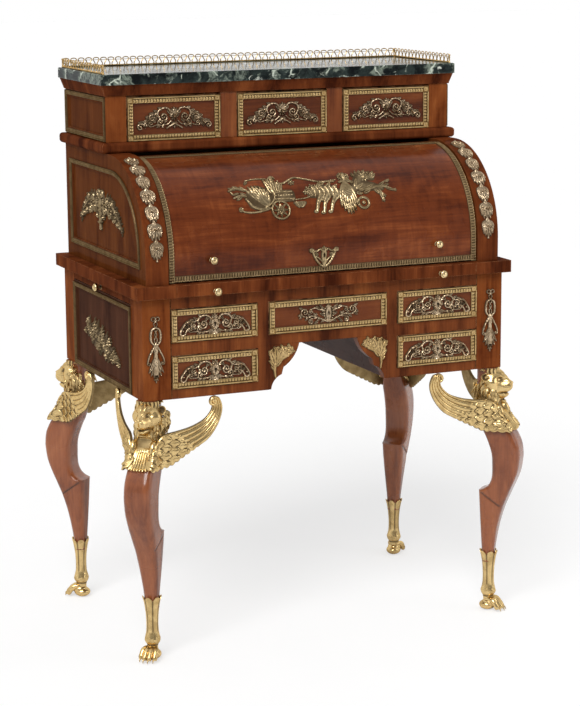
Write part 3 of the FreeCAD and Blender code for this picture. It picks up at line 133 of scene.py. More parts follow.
def turned(profile, sides, centre, axis, dirtAndShade=None):
    # a profile of radius and height spun about an axis through the centre
    profile = np.asarray(profile, float)
    axis = unit(np.asarray(axis, float))
    side = unit(np.cross(axis, (0.3, 0.2, 0.9) if abs(axis[2]) < 0.9 else (1, 0, 0)))
    over = np.cross(axis, side)
    angle = np.linspace(0, tau, sides, endpoint=False)
    around = np.cos(angle)[:, None] * side + np.sin(angle)[:, None] * over
    grid = centre + profile[:, 1, None, None] * axis + profile[:, 0, None, None] * around
    if dirtAndShade is not None:
        dirtAndShade = np.repeat(np.asarray(dirtAndShade, float)[:, None], sides, 1)
    return skin(grid, dirtAndShade)


def ball(centre, sizes, rows=10, columns=14):
    # ellipsoid: centre + sizes * (cos a, sin a cos b, sin a sin b)
    a = np.linspace(0.02, math.pi - 0.02, rows)[:, None]
    b = np.linspace(0, tau, columns, endpoint=False)
    way = np.stack([np.cos(a) + 0 * b, np.sin(a) * np.cos(b), np.sin(a) * np.sin(b)], -1)
    return skin(np.asarray(centre) + way * np.asarray(sizes))


def bevelBox(low, high, bevel):
    # rings of eight corners along X, drawn in at both ends by the bevel
    low, high = np.asarray(low, float), np.asarray(high, float)
    places = [(low[0], bevel), (low[0] + bevel, 0), (high[0] - bevel, 0), (high[0], bevel)]
    rings = []
    for x, inset in places:
        y0, z0 = low[1:] + inset
        y1, z1 = high[1:] - inset
        y = [y0 + bevel, y1 - bevel, y1, y1, y1 - bevel, y0 + bevel, y0, y0]
        z = [z0, z0, z0 + bevel, z1 - bevel, z1, z1, z1 - bevel, z0 + bevel]
        rings.append(np.stack([np.full(8, x), y, z], -1))
    return skin(np.array(rings))


def curveThrough(points, perSpan=8):
    # Catmull-Rom curve: each span is a cubic whose slopes come from the neighbouring points
    points = np.asarray(points, float)
    ends = np.vstack([2 * points[0] - points[1], points, 2 * points[-1] - points[-2]])
    a, b, c, d = ends[:-3], ends[1:-2], ends[2:-1], ends[3:]
    f = np.linspace(0, 1, perSpan, endpoint=False)[:, None, None]
    spans = 0.5 * (2 * b + (c - a) * f + (2 * a - 5 * b + 4 * c - d) * f**2 + (3 * b - a - 3 * c + d) * f**3)
    return np.vstack([spans.transpose(1, 0, 2).reshape(-1, points.shape[1]), points[-1]])


def evenly(points, count):
    # points spaced evenly by length along a smooth curve
    path = curveThrough(points, 24)
    run = np.concatenate([[0], np.cumsum(np.linalg.norm(np.diff(path, axis=0), axis=1))])
    spots = np.linspace(0, run[-1], count)
    return np.stack([np.interp(spots, run, path[:, k]) for k in range(path.shape[1])], -1)


def ramp(value, low, high):
    # smooth step from 0 at low to 1 at high
    f = np.clip((value - low) / (high - low), 0, 1)
    return f * f * (3 - 2 * f)


def moved(part, change):
    # the same shell with its points passed through a function
    return {**part, "points": change(part["points"])}


def outward(part):
    # a closed shell whose signed volume is negative has its faces turned round
    points = part["points"] - part["points"].mean(0)
    quads, tris = part["quads"], part["tris"]
    three = np.vstack([quads[:, :3], quads[:, [0, 2, 3]], tris])
    a, b, c = points[three[:, 0]], points[three[:, 1]], points[three[:, 2]]
    if np.sum(a * np.cross(b, c)) < 0:
        part = {**part, "quads": quads[:, ::-1], "tris": tris[:, ::-1]}
    return part


def makePiece(name, parts, finishes, body, replaced=(), sharp=50):
    # joins shells, or pairs of a shell and the number of its finish, into one object on a body
    pairs = [part if isinstance(part, tuple) else (part, 0) for part in parts]
    shells = [outward(part) for part, _ in pairs]
    counts = [len(part["points"]) for part in shells]
    shift = np.concatenate([[0], np.cumsum(counts)[:-1]])
    points = np.vstack([part["points"] for part in shells]) * 0.001
    dirtAndShade = np.concatenate([part["dirtAndShade"] for part in shells])
    quads = np.vstack([part["quads"] + k for part, k in zip(shells, shift)])
    tris = np.vstack([part["tris"] + k for part, k in zip(shells, shift)])
    finish = np.concatenate([np.full(len(part["quads"]), k) for part, (_, k) in zip(shells, pairs)]
                            + [np.full(len(part["tris"]), k) for part, (_, k) in zip(shells, pairs)])
    mesh = bpy.data.meshes.new(name)
    mesh.vertices.add(len(points))
    mesh.vertices.foreach_set("co", points.astype(np.float32).ravel())
    mesh.loops.add(quads.size + tris.size)
    mesh.loops.foreach_set("vertex_index", np.concatenate([quads.ravel(), tris.ravel()]).astype(np.int32))
    mesh.polygons.add(len(quads) + len(tris))
    starts = np.concatenate([np.arange(len(quads)) * 4, quads.size + np.arange(len(tris)) * 3])
    mesh.polygons.foreach_set("loop_start", starts.astype(np.int32))
    mesh.polygons.foreach_set("material_index", finish.astype(np.int32))
    mesh.polygons.foreach_set("use_smooth", np.ones(len(starts), bool))
    mesh.update(calc_edges=True)
    mesh.attributes.new("dirtAndShade", "FLOAT", "POINT").data.foreach_set("value", dirtAndShade.astype(np.float32))
    mesh.set_sharp_from_angle(angle=math.radians(sharp))
    for material in finishes:
        mesh.materials.append(material)
    piece = bpy.data.objects.new(name, mesh)
    scene.collection.objects.link(piece)
    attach(piece, body)
    if replaced:
        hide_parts(*replaced)


def boxOf(nodeName):
    # two corners of a CAD node in millimetres
    return (np.array(corner) * 1000 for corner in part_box(nodeName))


# node helpers: put adds a node and fills or links its inputs
def put(tree, kind, inputs=None, **settings):
    node = tree.nodes.new(kind)
    for key, value in settings.items():
        setattr(node, key, value)
    for key, value in (inputs or {}).items():
        if isinstance(value, bpy.types.NodeSocket):
            tree.links.new(value, node.inputs[key])
        else:
            node.inputs[key].default_value = value
    return node


def math2(tree, operation, a, b=0.0, clamp=False):
    return put(tree, "ShaderNodeMath", {0: a, 1: b}, operation=operation, use_clamp=clamp).outputs[0]


def times(tree, a, b):
    return math2(tree, "MULTIPLY", a, b)


def plus(tree, a, b):
    return math2(tree, "ADD", a, b)


def minus(tree, a, b):
    return math2(tree, "SUBTRACT", a, b)


def mixColour(tree, factor, a, b):
    return put(tree, "ShaderNodeMix", {0: factor, 6: a, 7: b}, data_type="RGBA").outputs[2]


def stretch(tree, value, low, high, toLow=0.0, toHigh=1.0):
    # low to high carried over to another range, held at its ends
    inputs = {0: value, 1: low, 2: high, 3: toLow, 4: toHigh}
    return put(tree, "ShaderNodeMapRange", inputs, interpolation_type="SMOOTHSTEP").outputs[0]


def noiseOn(tree, vector, scale, detail=3.0, rough=0.55, distortion=0.0):
    inputs = {"Vector": vector, "Scale": scale, "Detail": detail, "Roughness": rough}
    return put(tree, "ShaderNodeTexNoise", {**inputs, "Distortion": distortion}).outputs["Fac"]


def scaled(tree, vector, scale, turn=(0, 0, 0)):
    return put(tree, "ShaderNodeMapping", {"Vector": vector, "Scale": scale, "Rotation": turn}).outputs[0]


def newGroup(name, inputs, outputs):
    group = bpy.data.node_groups.new(name, "ShaderNodeTree")
    for direction, sockets in (("INPUT", inputs), ("OUTPUT", outputs)):
        for label, kind in sockets.items():
            group.interface.new_socket(label, in_out=direction, socket_type="NodeSocket" + kind)
    entry = group.nodes.new("NodeGroupInput")
    leave = group.nodes.new("NodeGroupOutput")
    return group, entry.outputs, leave.inputs


# wood figure: fibres run along Z of the given vector, flames drift along it and ribbons cross it
def woodGroup():
    group, given, out = newGroup(
        "mahoganyFigure",
        {"Vector": "Vector", "Dark": "Color", "Mid": "Color", "Light": "Color",
         "Flame": "Float", "Ribbon": "Float", "Patch": "Float"},
        {"Color": "Color", "Rough": "Float", "Height": "Float"})
    place = given["Vector"]
    flame = noiseOn(group, scaled(group, place, (17, 17, 3.4)), 1.0, 4.0, 0.55, 1.4)
    fibre = noiseOn(group, scaled(group, place, (260, 260, 9)), 1.0, 3.0, 0.6)
    pore = noiseOn(group, scaled(group, place, (900, 900, 34)), 1.0, 2.0, 0.5)
    ribbon = noiseOn(group, scaled(group, place, (16, 16, 74)), 1.0, 2.0, 0.5, 0.6)
    patch = noiseOn(group, scaled(group, place, (21, 21, 2.2)), 1.0, 1.5, 0.45, 0.3)
    tone = times(group, stretch(group, flame, 0.25, 0.75), given["Flame"])
    tone = plus(group, tone, times(group, fibre, 0.5))
    bands = times(group, minus(group, ribbon, 0.5), given["Ribbon"])
    blocks = times(group, minus(group, patch, 0.5), given["Patch"])
    tone = plus(group, plus(group, tone, bands), blocks)
    colour = mixColour(group, stretch(group, tone, 0.12, 0.58), given["Dark"], given["Mid"])
    colour = mixColour(group, stretch(group, tone, 0.52, 1.0), colour, given["Light"])
    specks = stretch(group, pore, 0.62, 0.72)
    colour = mixColour(group, times(group, specks, 0.45), colour, given["Dark"])
    group.links.new(colour, out["Color"])
    smear = noiseOn(group, scaled(group, place, (11, 11, 11)), 1.0, 3.0)
    group.links.new(stretch(group, smear, 0.3, 0.75, 0.2, 0.36), out["Rough"])
    height = minus(group, times(group, fibre, 0.35), times(group, specks, 0.6))
    group.links.new(height, out["Height"])
    return group


# edge mask: where a rounded normal leaves the true one, broken up by noise; materials tint it pale for wear
# and painted highlight, or dark for painted gap shadow
def edgeMaskGroup():
    group, given, out = newGroup("edgeMask", {"Vector": "Vector", "Width": "Float"},
                                 {"Mask": "Float", "Normal": "Vector"})
    rounded = put(group, "ShaderNodeBevel", {"Radius": given["Width"]}, samples=4).outputs[0]
    facing = put(group, "ShaderNodeNewGeometry").outputs["Normal"]
    same = put(group, "ShaderNodeVectorMath", {0: rounded, 1: facing}, operation="DOT_PRODUCT")
    edge = stretch(group, same.outputs["Value"], 0.995, 0.86)
    broken = stretch(group, noiseOn(group, given["Vector"], 70.0, 4.0), 0.35, 0.65)
    group.links.new(times(group, edge, broken), out["Mask"])
    group.links.new(rounded, out["Normal"])
    return group


# old gilding: bright metal, duller clouds, brown dirt and painted shade in the hollows and fine tool marks
def giltGroup():
    group, given, out = newGroup(
        "oldGilding",
        {"Vector": "Vector", "Bright": "Color", "Dull": "Color", "DirtAndShade": "Float", "Gloss": "Float"},
        {"Color": "Color", "Rough": "Float", "Height": "Float", "Metal": "Float"})
    cloud = stretch(group, noiseOn(group, given["Vector"], 55.0, 5.0, 0.6), 0.38, 0.66)
    speck = stretch(group, noiseOn(group, given["Vector"], 420.0, 3.0, 0.6), 0.55, 0.75)
    colour = mixColour(group, times(group, cloud, 0.75), given["Bright"], given["Dull"])
    colour = mixColour(group, times(group, speck, 0.35), colour, given["Dull"])
    # hollows go nearly black, less metallic and rougher: painted shade with some dirt
    deep = stretch(group, given["DirtAndShade"], 0.12, 0.8)
    colour = mixColour(group, times(group, deep, 0.93), colour, (0.035, 0.018, 0.006, 1))
    group.links.new(colour, out["Color"])
    matt = plus(group, given["Gloss"], times(group, cloud, 0.13))
    matt = math2(group, "ADD", matt, times(group, deep, 0.35), True)
    group.links.new(matt, out["Rough"])
    group.links.new(noiseOn(group, given["Vector"], 300.0, 3.0), out["Height"])
    group.links.new(minus(group, 1.0, times(group, deep, 0.55)), out["Metal"])
    return group


woodFigure = woodGroup()
edgeMask = edgeMaskGroup()
oldGilding = giltGroup()


def blankMaterial(name):
    # a material with one surface, and the place on the piece that its patterns start from
    material = bpy.data.materials.new(name)
    material.use_nodes = True
    tree = material.node_tree
    tree.nodes.clear()
    place = put(tree, "ShaderNodeTexCoord").outputs["Object"]
    surface = put(tree, "ShaderNodeBsdfPrincipled")
    leave = put(tree, "ShaderNodeOutputMaterial")
    tree.links.new(surface.outputs[0], leave.inputs["Surface"])
    return material, tree, place, surface


def bumpTo(tree, surface, height, distance, strength, normal=None):
    # leans the surface by a height times a distance in metres
    inputs = {"Height": height, "Distance": distance, "Strength": strength}
    if normal is not None:
        inputs["Normal"] = normal
    bump = put(tree, "ShaderNodeBump", inputs)
    tree.links.new(bump.outputs[0], surface.inputs["Normal"])


grainTurns = {"z": (0, 0, 0), "x": (0, math.pi / 2, 0), "y": (math.pi / 2, 0, 0)}
# a look: three colours of the figure, the axis of the grain and how strong each feature and the polish are
plainLook = {"grain": "z", "flame": 0.5, "ribbon": 0.1, "patch": 0.1, "shine": 0.12, "coat": 0.07}


def woodLook(dark, mid, light, **changes):
    # the plain look with its own colours and changes
    return {**plainLook, "dark": dark, "mid": mid, "light": light, **changes}


woodLooks = {
    "fall": woodLook((0.046, 0.0085, 0.0025), (0.110, 0.0235, 0.0058), (0.215, 0.056, 0.0145),
                     grain="x", ribbon=0.45, patch=0.3),
    "drawer": woodLook((0.045, 0.009, 0.0024), (0.108, 0.026, 0.0062), (0.18, 0.05, 0.0125),
                       grain="x", ribbon=0.2, joint=0.9),
    "stile": woodLook((0.07, 0.014, 0.0034), (0.165, 0.044, 0.011), (0.27, 0.085, 0.023),
                      flame=0.55, ribbon=0.15, patch=0.15),
    "end": woodLook((0.05, 0.011, 0.003), (0.10, 0.024, 0.007), (0.17, 0.045, 0.012),
                    flame=0.55, ribbon=0.15, patch=0.15),
    "rail": woodLook((0.04, 0.009, 0.003), (0.128, 0.034, 0.010), (0.23, 0.068, 0.018), patch=1.3, joint=0.8),
    "board": woodLook((0.036, 0.008, 0.003), (0.105, 0.026, 0.008), (0.19, 0.054, 0.016),
                      patch=1.1, shine=0.0, coat=0.02),
    "side": woodLook((0.05, 0.012, 0.003), (0.096, 0.027, 0.0065), (0.155, 0.05, 0.013),
                     ribbon=0.12, patch=0.25, shine=0.0, coat=0.04),
    "panel": woodLook((0.03, 0.010, 0.005), (0.055, 0.020, 0.010), (0.09, 0.034, 0.017),
                      patch=0.2, shine=0.0, coat=0.04),
    "leg": woodLook((0.11, 0.027, 0.009), (0.225, 0.068, 0.024), (0.33, 0.12, 0.044),
                    ribbon=0.12, patch=0.15, shine=0.25, coat=0.45),
    "inner": woodLook((0.11, 0.055, 0.025), (0.22, 0.125, 0.06), (0.33, 0.21, 0.11),
                      grain="y", shine=0.15, coat=0.0),
    "under": woodLook((0.03, 0.013, 0.009), (0.062, 0.029, 0.021), (0.10, 0.05, 0.036),
                      grain="y", shine=0.04, coat=0.0),
    # near-black look for the painted gap shadow lines
    "joint": woodLook((0.004, 0.002, 0.0015), (0.008, 0.004, 0.003), (0.014, 0.007, 0.005),
                      grain="x", shine=0.0, coat=0.0),
}
woodLooks["backBoard"] = {**woodLooks["inner"], "grain": "x"}
woodLooks["lowBack"] = {**woodLooks["under"], "grain": "x"}


def figureOf(tree, place, look):
    # the figure node for one look, with its grain turned along an axis of the desk
    inputs = {"Vector": scaled(tree, place, (1, 1, 1), grainTurns[look["grain"]])}
    for key in ("Dark", "Mid", "Light"):
        inputs[key] = (*look[key.lower()], 1)
    for key in ("Flame", "Ribbon", "Patch"):
        inputs[key] = look[key.lower()]
    return put(tree, "ShaderNodeGroup", inputs, node_tree=woodFigure).outputs


# how strongly edges are tinted: pale for wear and painted highlight, less where two looks meet, or dark as
# painted shadow of the gap beside them
edgeTint = {"width": 0.0018, "edgeAmount": 0.65, "edgeAmountTwo": 0.15, "pale": (0.42, 0.19, 0.085, 1),
            "dark": (0.010, 0.004, 0.002, 1), "soilAndShade": (0.012, 0.005, 0.003, 1)}


def woodMaterial(name, lookName, secondName=None, mask=None):
    # French-polished wood; a second look takes over where the mask is 1
    material, tree, place, surface = blankMaterial(name)
    look = woodLooks[lookName]
    polish = woodLooks[secondName or lookName]
    figure = figureOf(tree, place, look)
    colour = figure["Color"]
    if secondName:
        colour = mixColour(tree, mask(tree, place), colour, figureOf(tree, place, polish)["Color"])
    # edges tinted pale: wear and painted highlight
    edgeAmount, tint = edgeTint["edgeAmountTwo" if secondName else "edgeAmount"], edgeTint["pale"]
    # drawer fronts and rails: edges darkened as painted shadow of the gaps beside them
    if "joint" in look:
        edgeAmount, tint = look["joint"], edgeTint["dark"]
    inputs = {"Vector": place, "Width": edgeTint["width"]}
    edgeMarks = put(tree, "ShaderNodeGroup", inputs, node_tree=edgeMask).outputs
    colour = mixColour(tree, times(tree, edgeMarks["Mask"], edgeAmount), colour, tint)
    # darkened where the piece's attribute holds dirt and painted shade, such as the cut lines on the legs
    soilAndShade = put(tree, "ShaderNodeAttribute", attribute_name="dirtAndShade").outputs["Fac"]
    colour = mixColour(tree, times(tree, soilAndShade, 0.85), colour, edgeTint["soilAndShade"])
    tree.links.new(colour, surface.inputs["Base Color"])
    tree.links.new(figure["Rough"], surface.inputs["Roughness"])
    surface.inputs["Specular IOR Level"].default_value = polish["shine"]
    surface.inputs["Coat Weight"].default_value = polish["coat"]
    surface.inputs["Coat Roughness"].default_value = 0.09
    bumpTo(tree, surface, figure["Height"], 0.0001, 0.5, edgeMarks["Normal"])
    return material


def maskOf(axis, low, high, facing=False, fold=False):
    # goes from 0 to 1 between two places on an axis, in metres, or between two shares of a face's direction
    def mask(tree, place):
        source = put(tree, "ShaderNodeNewGeometry").outputs["True Normal"] if facing else place
        value = put(tree, "ShaderNodeSeparateXYZ", {0: source}).outputs[axis]
        if fold:
            value = math2(tree, "ABSOLUTE", value)
        return stretch(tree, value, low, high)
    return mask


# places in metres where a drawer's front ends and its bare box begins, and half the length of a side's panel
lowFrontEnd, topFrontEnd, panelHalf, blur = -0.229, 0.0035, 0.1833, 0.0005
sideFaces = maskOf(0, 0.6, 0.8, facing=True, fold=True)
underside = maskOf(2, -0.6, -0.8, facing=True)
onPanel = maskOf(1, panelHalf + 0.0004, panelHalf - 0.0004, fold=True)
woodKinds = {
    "fall": ("fallMahogany", "fall"),
    "lowDrawer": ("lowDrawerMahogany", "drawer", "inner", maskOf(1, lowFrontEnd - blur, lowFrontEnd + blur)),
    "topDrawer": ("topDrawerMahogany", "drawer", "inner", maskOf(1, topFrontEnd - blur, topFrontEnd + blur)),
    "rail": ("railMahogany", "rail", "under", underside),
    "board": ("boardMahogany", "board"),
    "end": ("endMahogany", "end", "side", sideFaces),
    "lowSide": ("lowSideMahogany", "stile", "panel", onPanel),
    "upperSide": ("upperSideMahogany", "stile", "side", maskOf(1, -0.0162, -0.0152)),
    "stile": ("stileMahogany", "stile"),
    "leg": ("legMahogany", "leg"),
    "inner": ("innerWood", "inner"),
    "under": ("underWood", "under"),
    "joint": ("jointShade", "joint"),
    "backBoard": ("backBoardWood", "backBoard"),
    "lowBack": ("lowBackWood", "lowBack"),
}
woods = {key: woodMaterial(*kind) for key, kind in woodKinds.items()}


def giltMaterial(name, bright, dull, gloss):
    # gilt metal whose dirt and painted shade come from the piece's own attribute
    material, tree, place, surface = blankMaterial(name)
    dirtAndShade = put(tree, "ShaderNodeAttribute", attribute_name="dirtAndShade").outputs["Fac"]
    inputs = {"Vector": place, "DirtAndShade": dirtAndShade, "Bright": (*bright, 1), "Dull": (*dull, 1), "Gloss": gloss}
    gilt = put(tree, "ShaderNodeGroup", inputs, node_tree=oldGilding).outputs
    tree.links.new(gilt["Color"], surface.inputs["Base Color"])
    tree.links.new(gilt["Rough"], surface.inputs["Roughness"])
    tree.links.new(gilt["Metal"], surface.inputs["Metallic"])
    surface.inputs["Specular Tint"].default_value = (0.92, 0.78, 0.58, 1)  # keeps grazing reflections warm
    bumpTo(tree, surface, gilt["Height"], 0.00025, 0.5)
    return material


gilts = {
    "pale": giltMaterial("paleGilt", (0.70, 0.51, 0.235), (0.43, 0.29, 0.12), 0.2),
    "mount": giltMaterial("mountGilt", (0.52, 0.40, 0.265), (0.25, 0.17, 0.095), 0.2),
    "antique": giltMaterial("antiqueGilt", (0.45, 0.34, 0.19), (0.15, 0.103, 0.05), 0.22),
    "frame": giltMaterial("frameGilt", (0.55, 0.385, 0.18), (0.38, 0.255, 0.105), 0.3),
    "strip": giltMaterial("stripGilt", (0.31, 0.215, 0.11), (0.2, 0.135, 0.065), 0.3),
    "bronze": giltMaterial("greyBronze", (0.120, 0.074, 0.035), (0.066, 0.04, 0.019), 0.4),
    "dark": giltMaterial("darkGilt", (0.30, 0.225, 0.13), (0.10, 0.07, 0.035), 0.22),
    "knob": giltMaterial("knobGilt", (0.80, 0.62, 0.34), (0.5, 0.36, 0.17), 0.16),
}


def marbleMaterial():
    # dark serpentine: near-black clouds, cloudy pale green patches and a few thin broken veins
    material, tree, place, surface = blankMaterial("darkMarble")
    bent = put(tree, "ShaderNodeTexNoise", {"Vector": place, "Scale": 18.0, "Detail": 5.0}).outputs["Color"]
    drift = put(tree, "ShaderNodeVectorMath", {0: bent, 1: (0.07, 0.07, 0.07)}, operation="MULTIPLY")
    swirl = put(tree, "ShaderNodeVectorMath", {0: place, 1: drift.outputs[0]}, operation="ADD").outputs[0]
    cloud = noiseOn(tree, swirl, 24.0, 6.0, 0.62)
    black, slate = (0.0045, 0.006, 0.0065, 1), (0.026, 0.036, 0.033, 1)
    colour = mixColour(tree, stretch(tree, cloud, 0.38, 0.64), black, slate)
    speck = stretch(tree, noiseOn(tree, place, 240.0, 4.0, 0.7), 0.60, 0.72)
    colour = mixColour(tree, times(tree, speck, 0.3), colour, (0.14, 0.19, 0.16, 1))
    mottle = stretch(tree, noiseOn(tree, swirl, 75.0, 6.0, 0.72, 0.8), 0.40, 0.62)
    patch = stretch(tree, noiseOn(tree, swirl, 17.0, 4.0, 0.6, 0.8), 0.50, 0.56)
    patch = times(tree, patch, plus(tree, times(tree, mottle, 0.75), 0.1))
    colour = mixColour(tree, patch, colour, (0.20, 0.235, 0.19, 1))
    heart = stretch(tree, noiseOn(tree, swirl, 26.0, 5.0, 0.65, 0.6), 0.62, 0.66)
    heart = times(tree, heart, plus(tree, times(tree, mottle, 0.6), 0.3))
    colour = mixColour(tree, heart, colour, (0.60, 0.63, 0.55, 1))
    cells = put(tree, "ShaderNodeTexVoronoi", {"Vector": swirl, "Scale": 15.0}, feature="DISTANCE_TO_EDGE")
    vein = stretch(tree, cells.outputs["Distance"], 0.035, 0.0)
    broken = stretch(tree, noiseOn(tree, place, 30.0, 4.0), 0.50, 0.62)
    colour = mixColour(tree, times(tree, vein, broken), colour, (0.5, 0.55, 0.46, 1))
    edgeMarks = put(tree, "ShaderNodeGroup", {"Vector": place, "Width": 0.0025}, node_tree=edgeMask).outputs
    # pale edges: wear and painted highlight
    colour = mixColour(tree, times(tree, edgeMarks["Mask"], 0.5), colour, (0.3, 0.34, 0.3, 1))
    tree.links.new(colour, surface.inputs["Base Color"])
    tree.links.new(stretch(tree, cloud, 0.3, 0.7, 0.06, 0.16), surface.inputs["Roughness"])
    surface.inputs["Specular IOR Level"].default_value = 0.04
    bumpTo(tree, surface, cloud, 0.0004, 0.15, edgeMarks["Normal"])
    return material


def leatherMaterial():
    # dark green hide: small cells for the grain, clouds of wear, and two gilt lines tooled near the edge
    material, tree, place, surface = blankMaterial("deskLeather")
    low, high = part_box("slide_leather")
    cells = put(tree, "ShaderNodeTexVoronoi", {"Vector": place, "Scale": 900.0}, feature="DISTANCE_TO_EDGE")
    grain = stretch(tree, cells.outputs["Distance"], 0.0, 0.35)
    cloud = stretch(tree, noiseOn(tree, place, 9.0, 4.0), 0.35, 0.7)
    colour = mixColour(tree, cloud, (0.055, 0.1, 0.055, 1), (0.11, 0.185, 0.108, 1))
    split = put(tree, "ShaderNodeSeparateXYZ", {0: place})
    insets = []
    for axis in (0, 1):
        away = math2(tree, "ABSOLUTE", minus(tree, split.outputs[axis], (low[axis] + high[axis]) / 2))
        insets.append(minus(tree, (high[axis] - low[axis]) / 2, away))
    inset = math2(tree, "MINIMUM", *insets)
    line = 0.0
    for spot, width in ((0.012, 0.0012), (0.017, 0.0005)):
        off = math2(tree, "ABSOLUTE", minus(tree, inset, spot))
        line = math2(tree, "MAXIMUM", line, stretch(tree, off, width, width * 0.6))
    colour = mixColour(tree, line, colour, (0.5, 0.34, 0.12, 1))
    tree.links.new(colour, surface.inputs["Base Color"])
    tree.links.new(stretch(tree, cloud, 0.0, 1.0, 0.4, 0.55), surface.inputs["Roughness"])
    bumpTo(tree, surface, minus(tree, grain, line), 0.00025, 0.7)
    return material


def ironMaterial():
    # dark oiled iron with rusty specks
    material, tree, place, surface = blankMaterial("oiledIron")
    cloud = noiseOn(tree, place, 60.0, 5.0)
    rust = stretch(tree, noiseOn(tree, place, 150.0, 4.0), 0.6, 0.72)
    colour = mixColour(tree, cloud, (0.04, 0.038, 0.036, 1), (0.11, 0.105, 0.1, 1))
    colour = mixColour(tree, times(tree, rust, 0.5), colour, (0.09, 0.035, 0.014, 1))
    tree.links.new(colour, surface.inputs["Base Color"])
    tree.links.new(stretch(tree, rust, 0.0, 1.0, 0.4, 0.75), surface.inputs["Roughness"])
    surface.inputs["Metallic"].default_value = 0.85
    bumpTo(tree, surface, cloud, 0.0004, 0.4)
    return material


marble = marbleMaterial()
leather = leatherMaterial()
iron = ironMaterial()
print("materials made")

# finish of each CAD node that stays
nodeFinish = {
    "cylinder_fall": woods["fall"], "face_frame": woods["rail"], "tabletop": woods["board"],
    "writing_slide": woods["board"], "waist_board": woods["board"], "cornice": woods["board"],
    "marble_top": marble, "slide_leather": leather, "fall_arms": iron,
}
byPrefix = [
    ("drawer_trim", gilts["frame"]), ("drawer_top", woods["topDrawer"]), ("drawer", woods["lowDrawer"]),
    ("cylinder_end", woods["end"]), ("lower_side", woods["lowSide"]), ("upper_side", woods["upperSide"]),
    ("upper_divider", woods["stile"]), ("spandrel", woods["rail"]), ("leg", woods["leg"]),
    ("side_mouldings", gilts["bronze"]), ("winged_lion", gilts["pale"]), ("sabot", gilts["pale"]),
    ("side_slide", woods["board"]), ("kneehole", woods["under"]), ("lower_back", woods["lowBack"]),
    ("upper_back", woods["backBoard"]), ("cylinder_back", woods["backBoard"]),
]
for nodeName, node in nodes.items():
    finish = nodeFinish.get(nodeName)
    for prefix, material in byPrefix:
        if finish is None and nodeName.startswith(prefix):
            finish = material
    node.data.materials.clear()
    node.data.materials.append(finish or woods["inner"])
print("CAD nodes finished")

# camera at the photograph's view: angles in degrees, distances in metres, focal length and long side in
# pixels, sensor in millimetres
view = {"azimuth": -23.644, "elevation": 11.272, "roll": -0.37, "distance": 4.6063,
        "target": (0, -0.05036, 0.57788), "focal": 2127.6, "long": 706, "sensor": 36}


def makeCamera():
    # looks along azimuth and elevation at the desk, turned by the roll
    a, e, r = (math.radians(view[key]) for key in ("azimuth", "elevation", "roll"))
    back = Vector((math.sin(a) * math.cos(e), -math.cos(a) * math.cos(e), math.sin(e)))
    right = Vector((math.cos(a), math.sin(a), 0))
    up = back.cross(right)
    xAxis = math.cos(r) * right + math.sin(r) * up
    yAxis = math.cos(r) * up - math.sin(r) * right
    data = bpy.data.cameras.new("camera")
    data.sensor_width = view["sensor"]
    data.lens = view["sensor"] * view["focal"] / view["long"]
    data.clip_end = 100
    camera = bpy.data.objects.new("camera", data)
    turn = Matrix((xAxis, yAxis, back)).transposed().to_4x4()
    camera.matrix_world = Matrix.Translation(Vector(view["target"]) + back * view["distance"]) @ turn
    scene.collection.objects.link(camera)
    scene.camera = camera


# studio: a broad soft sun from the left front, a weak lamp at the right, white floor and world
studio = {
    "sun": {"towards": (-0.46, -0.54, 0.70), "angle": 32, "strength": 2.5},
    "fill": {"place": (2.8, -2.2, 1.6), "aim": (0, 0, 0.55), "size": 2.0, "power": 20},
    "ambient": 0.52,
    "floor": 0.94,
    "floorReach": 30.0,
    "glow": 0.6,
}


def addLight(name, kind, energy, turn, place=(0, 0, 0), **settings):
    # a lamp that is turned and placed, with settings of its kind
    data = bpy.data.lights.new(name, kind)
    data.energy = energy
    for key, value in settings.items():
        setattr(data, key, value)
    light = bpy.data.objects.new(name, data)
    light.location = place
    light.rotation_euler = turn.to_euler()
    scene.collection.objects.link(light)


def makeLights():
    lamp = studio["sun"]
    turn = Vector(lamp["towards"]).to_track_quat("Z", "Y")
    addLight("sun", "SUN", lamp["strength"], turn, angle=math.radians(lamp["angle"]))
    lamp = studio["fill"]
    turn = (Vector(lamp["aim"]) - Vector(lamp["place"])).to_track_quat("-Z", "Y")
    addLight("fill", "AREA", lamp["power"], turn, lamp["place"], shape="DISK", size=lamp["size"])


def makeWorld():
    world = bpy.data.worlds.new("studioWorld")
    world.use_nodes = True
    scene.world = world
    tree = world.node_tree
    tree.nodes.clear()
    rays = put(tree, "ShaderNodeLightPath").outputs
    glossy = rays["Is Glossy Ray"]
    sky = put(tree, "ShaderNodeTexCoord").outputs["Generated"]
    way = put(tree, "ShaderNodeSeparateXYZ", {0: sky}).outputs
    # mirrors see the white backdrop behind the desk and a dimmer room on the camera's side
    room = stretch(tree, way[1], -0.75, 0.1, 0.3, 1.0)
    seen = math2(tree, "MAXIMUM", rays["Is Camera Ray"], rays["Is Transmission Ray"])
    others = times(tree, minus(tree, 1.0, glossy), studio["ambient"])
    strength = math2(tree, "MAXIMUM", plus(tree, times(tree, glossy, room), others), seen)
    light = put(tree, "ShaderNodeBackground", {"Color": (1, 1, 1, 1), "Strength": strength})
    leave = put(tree, "ShaderNodeOutputWorld")
    tree.links.new(light.outputs[0], leave.inputs["Surface"])


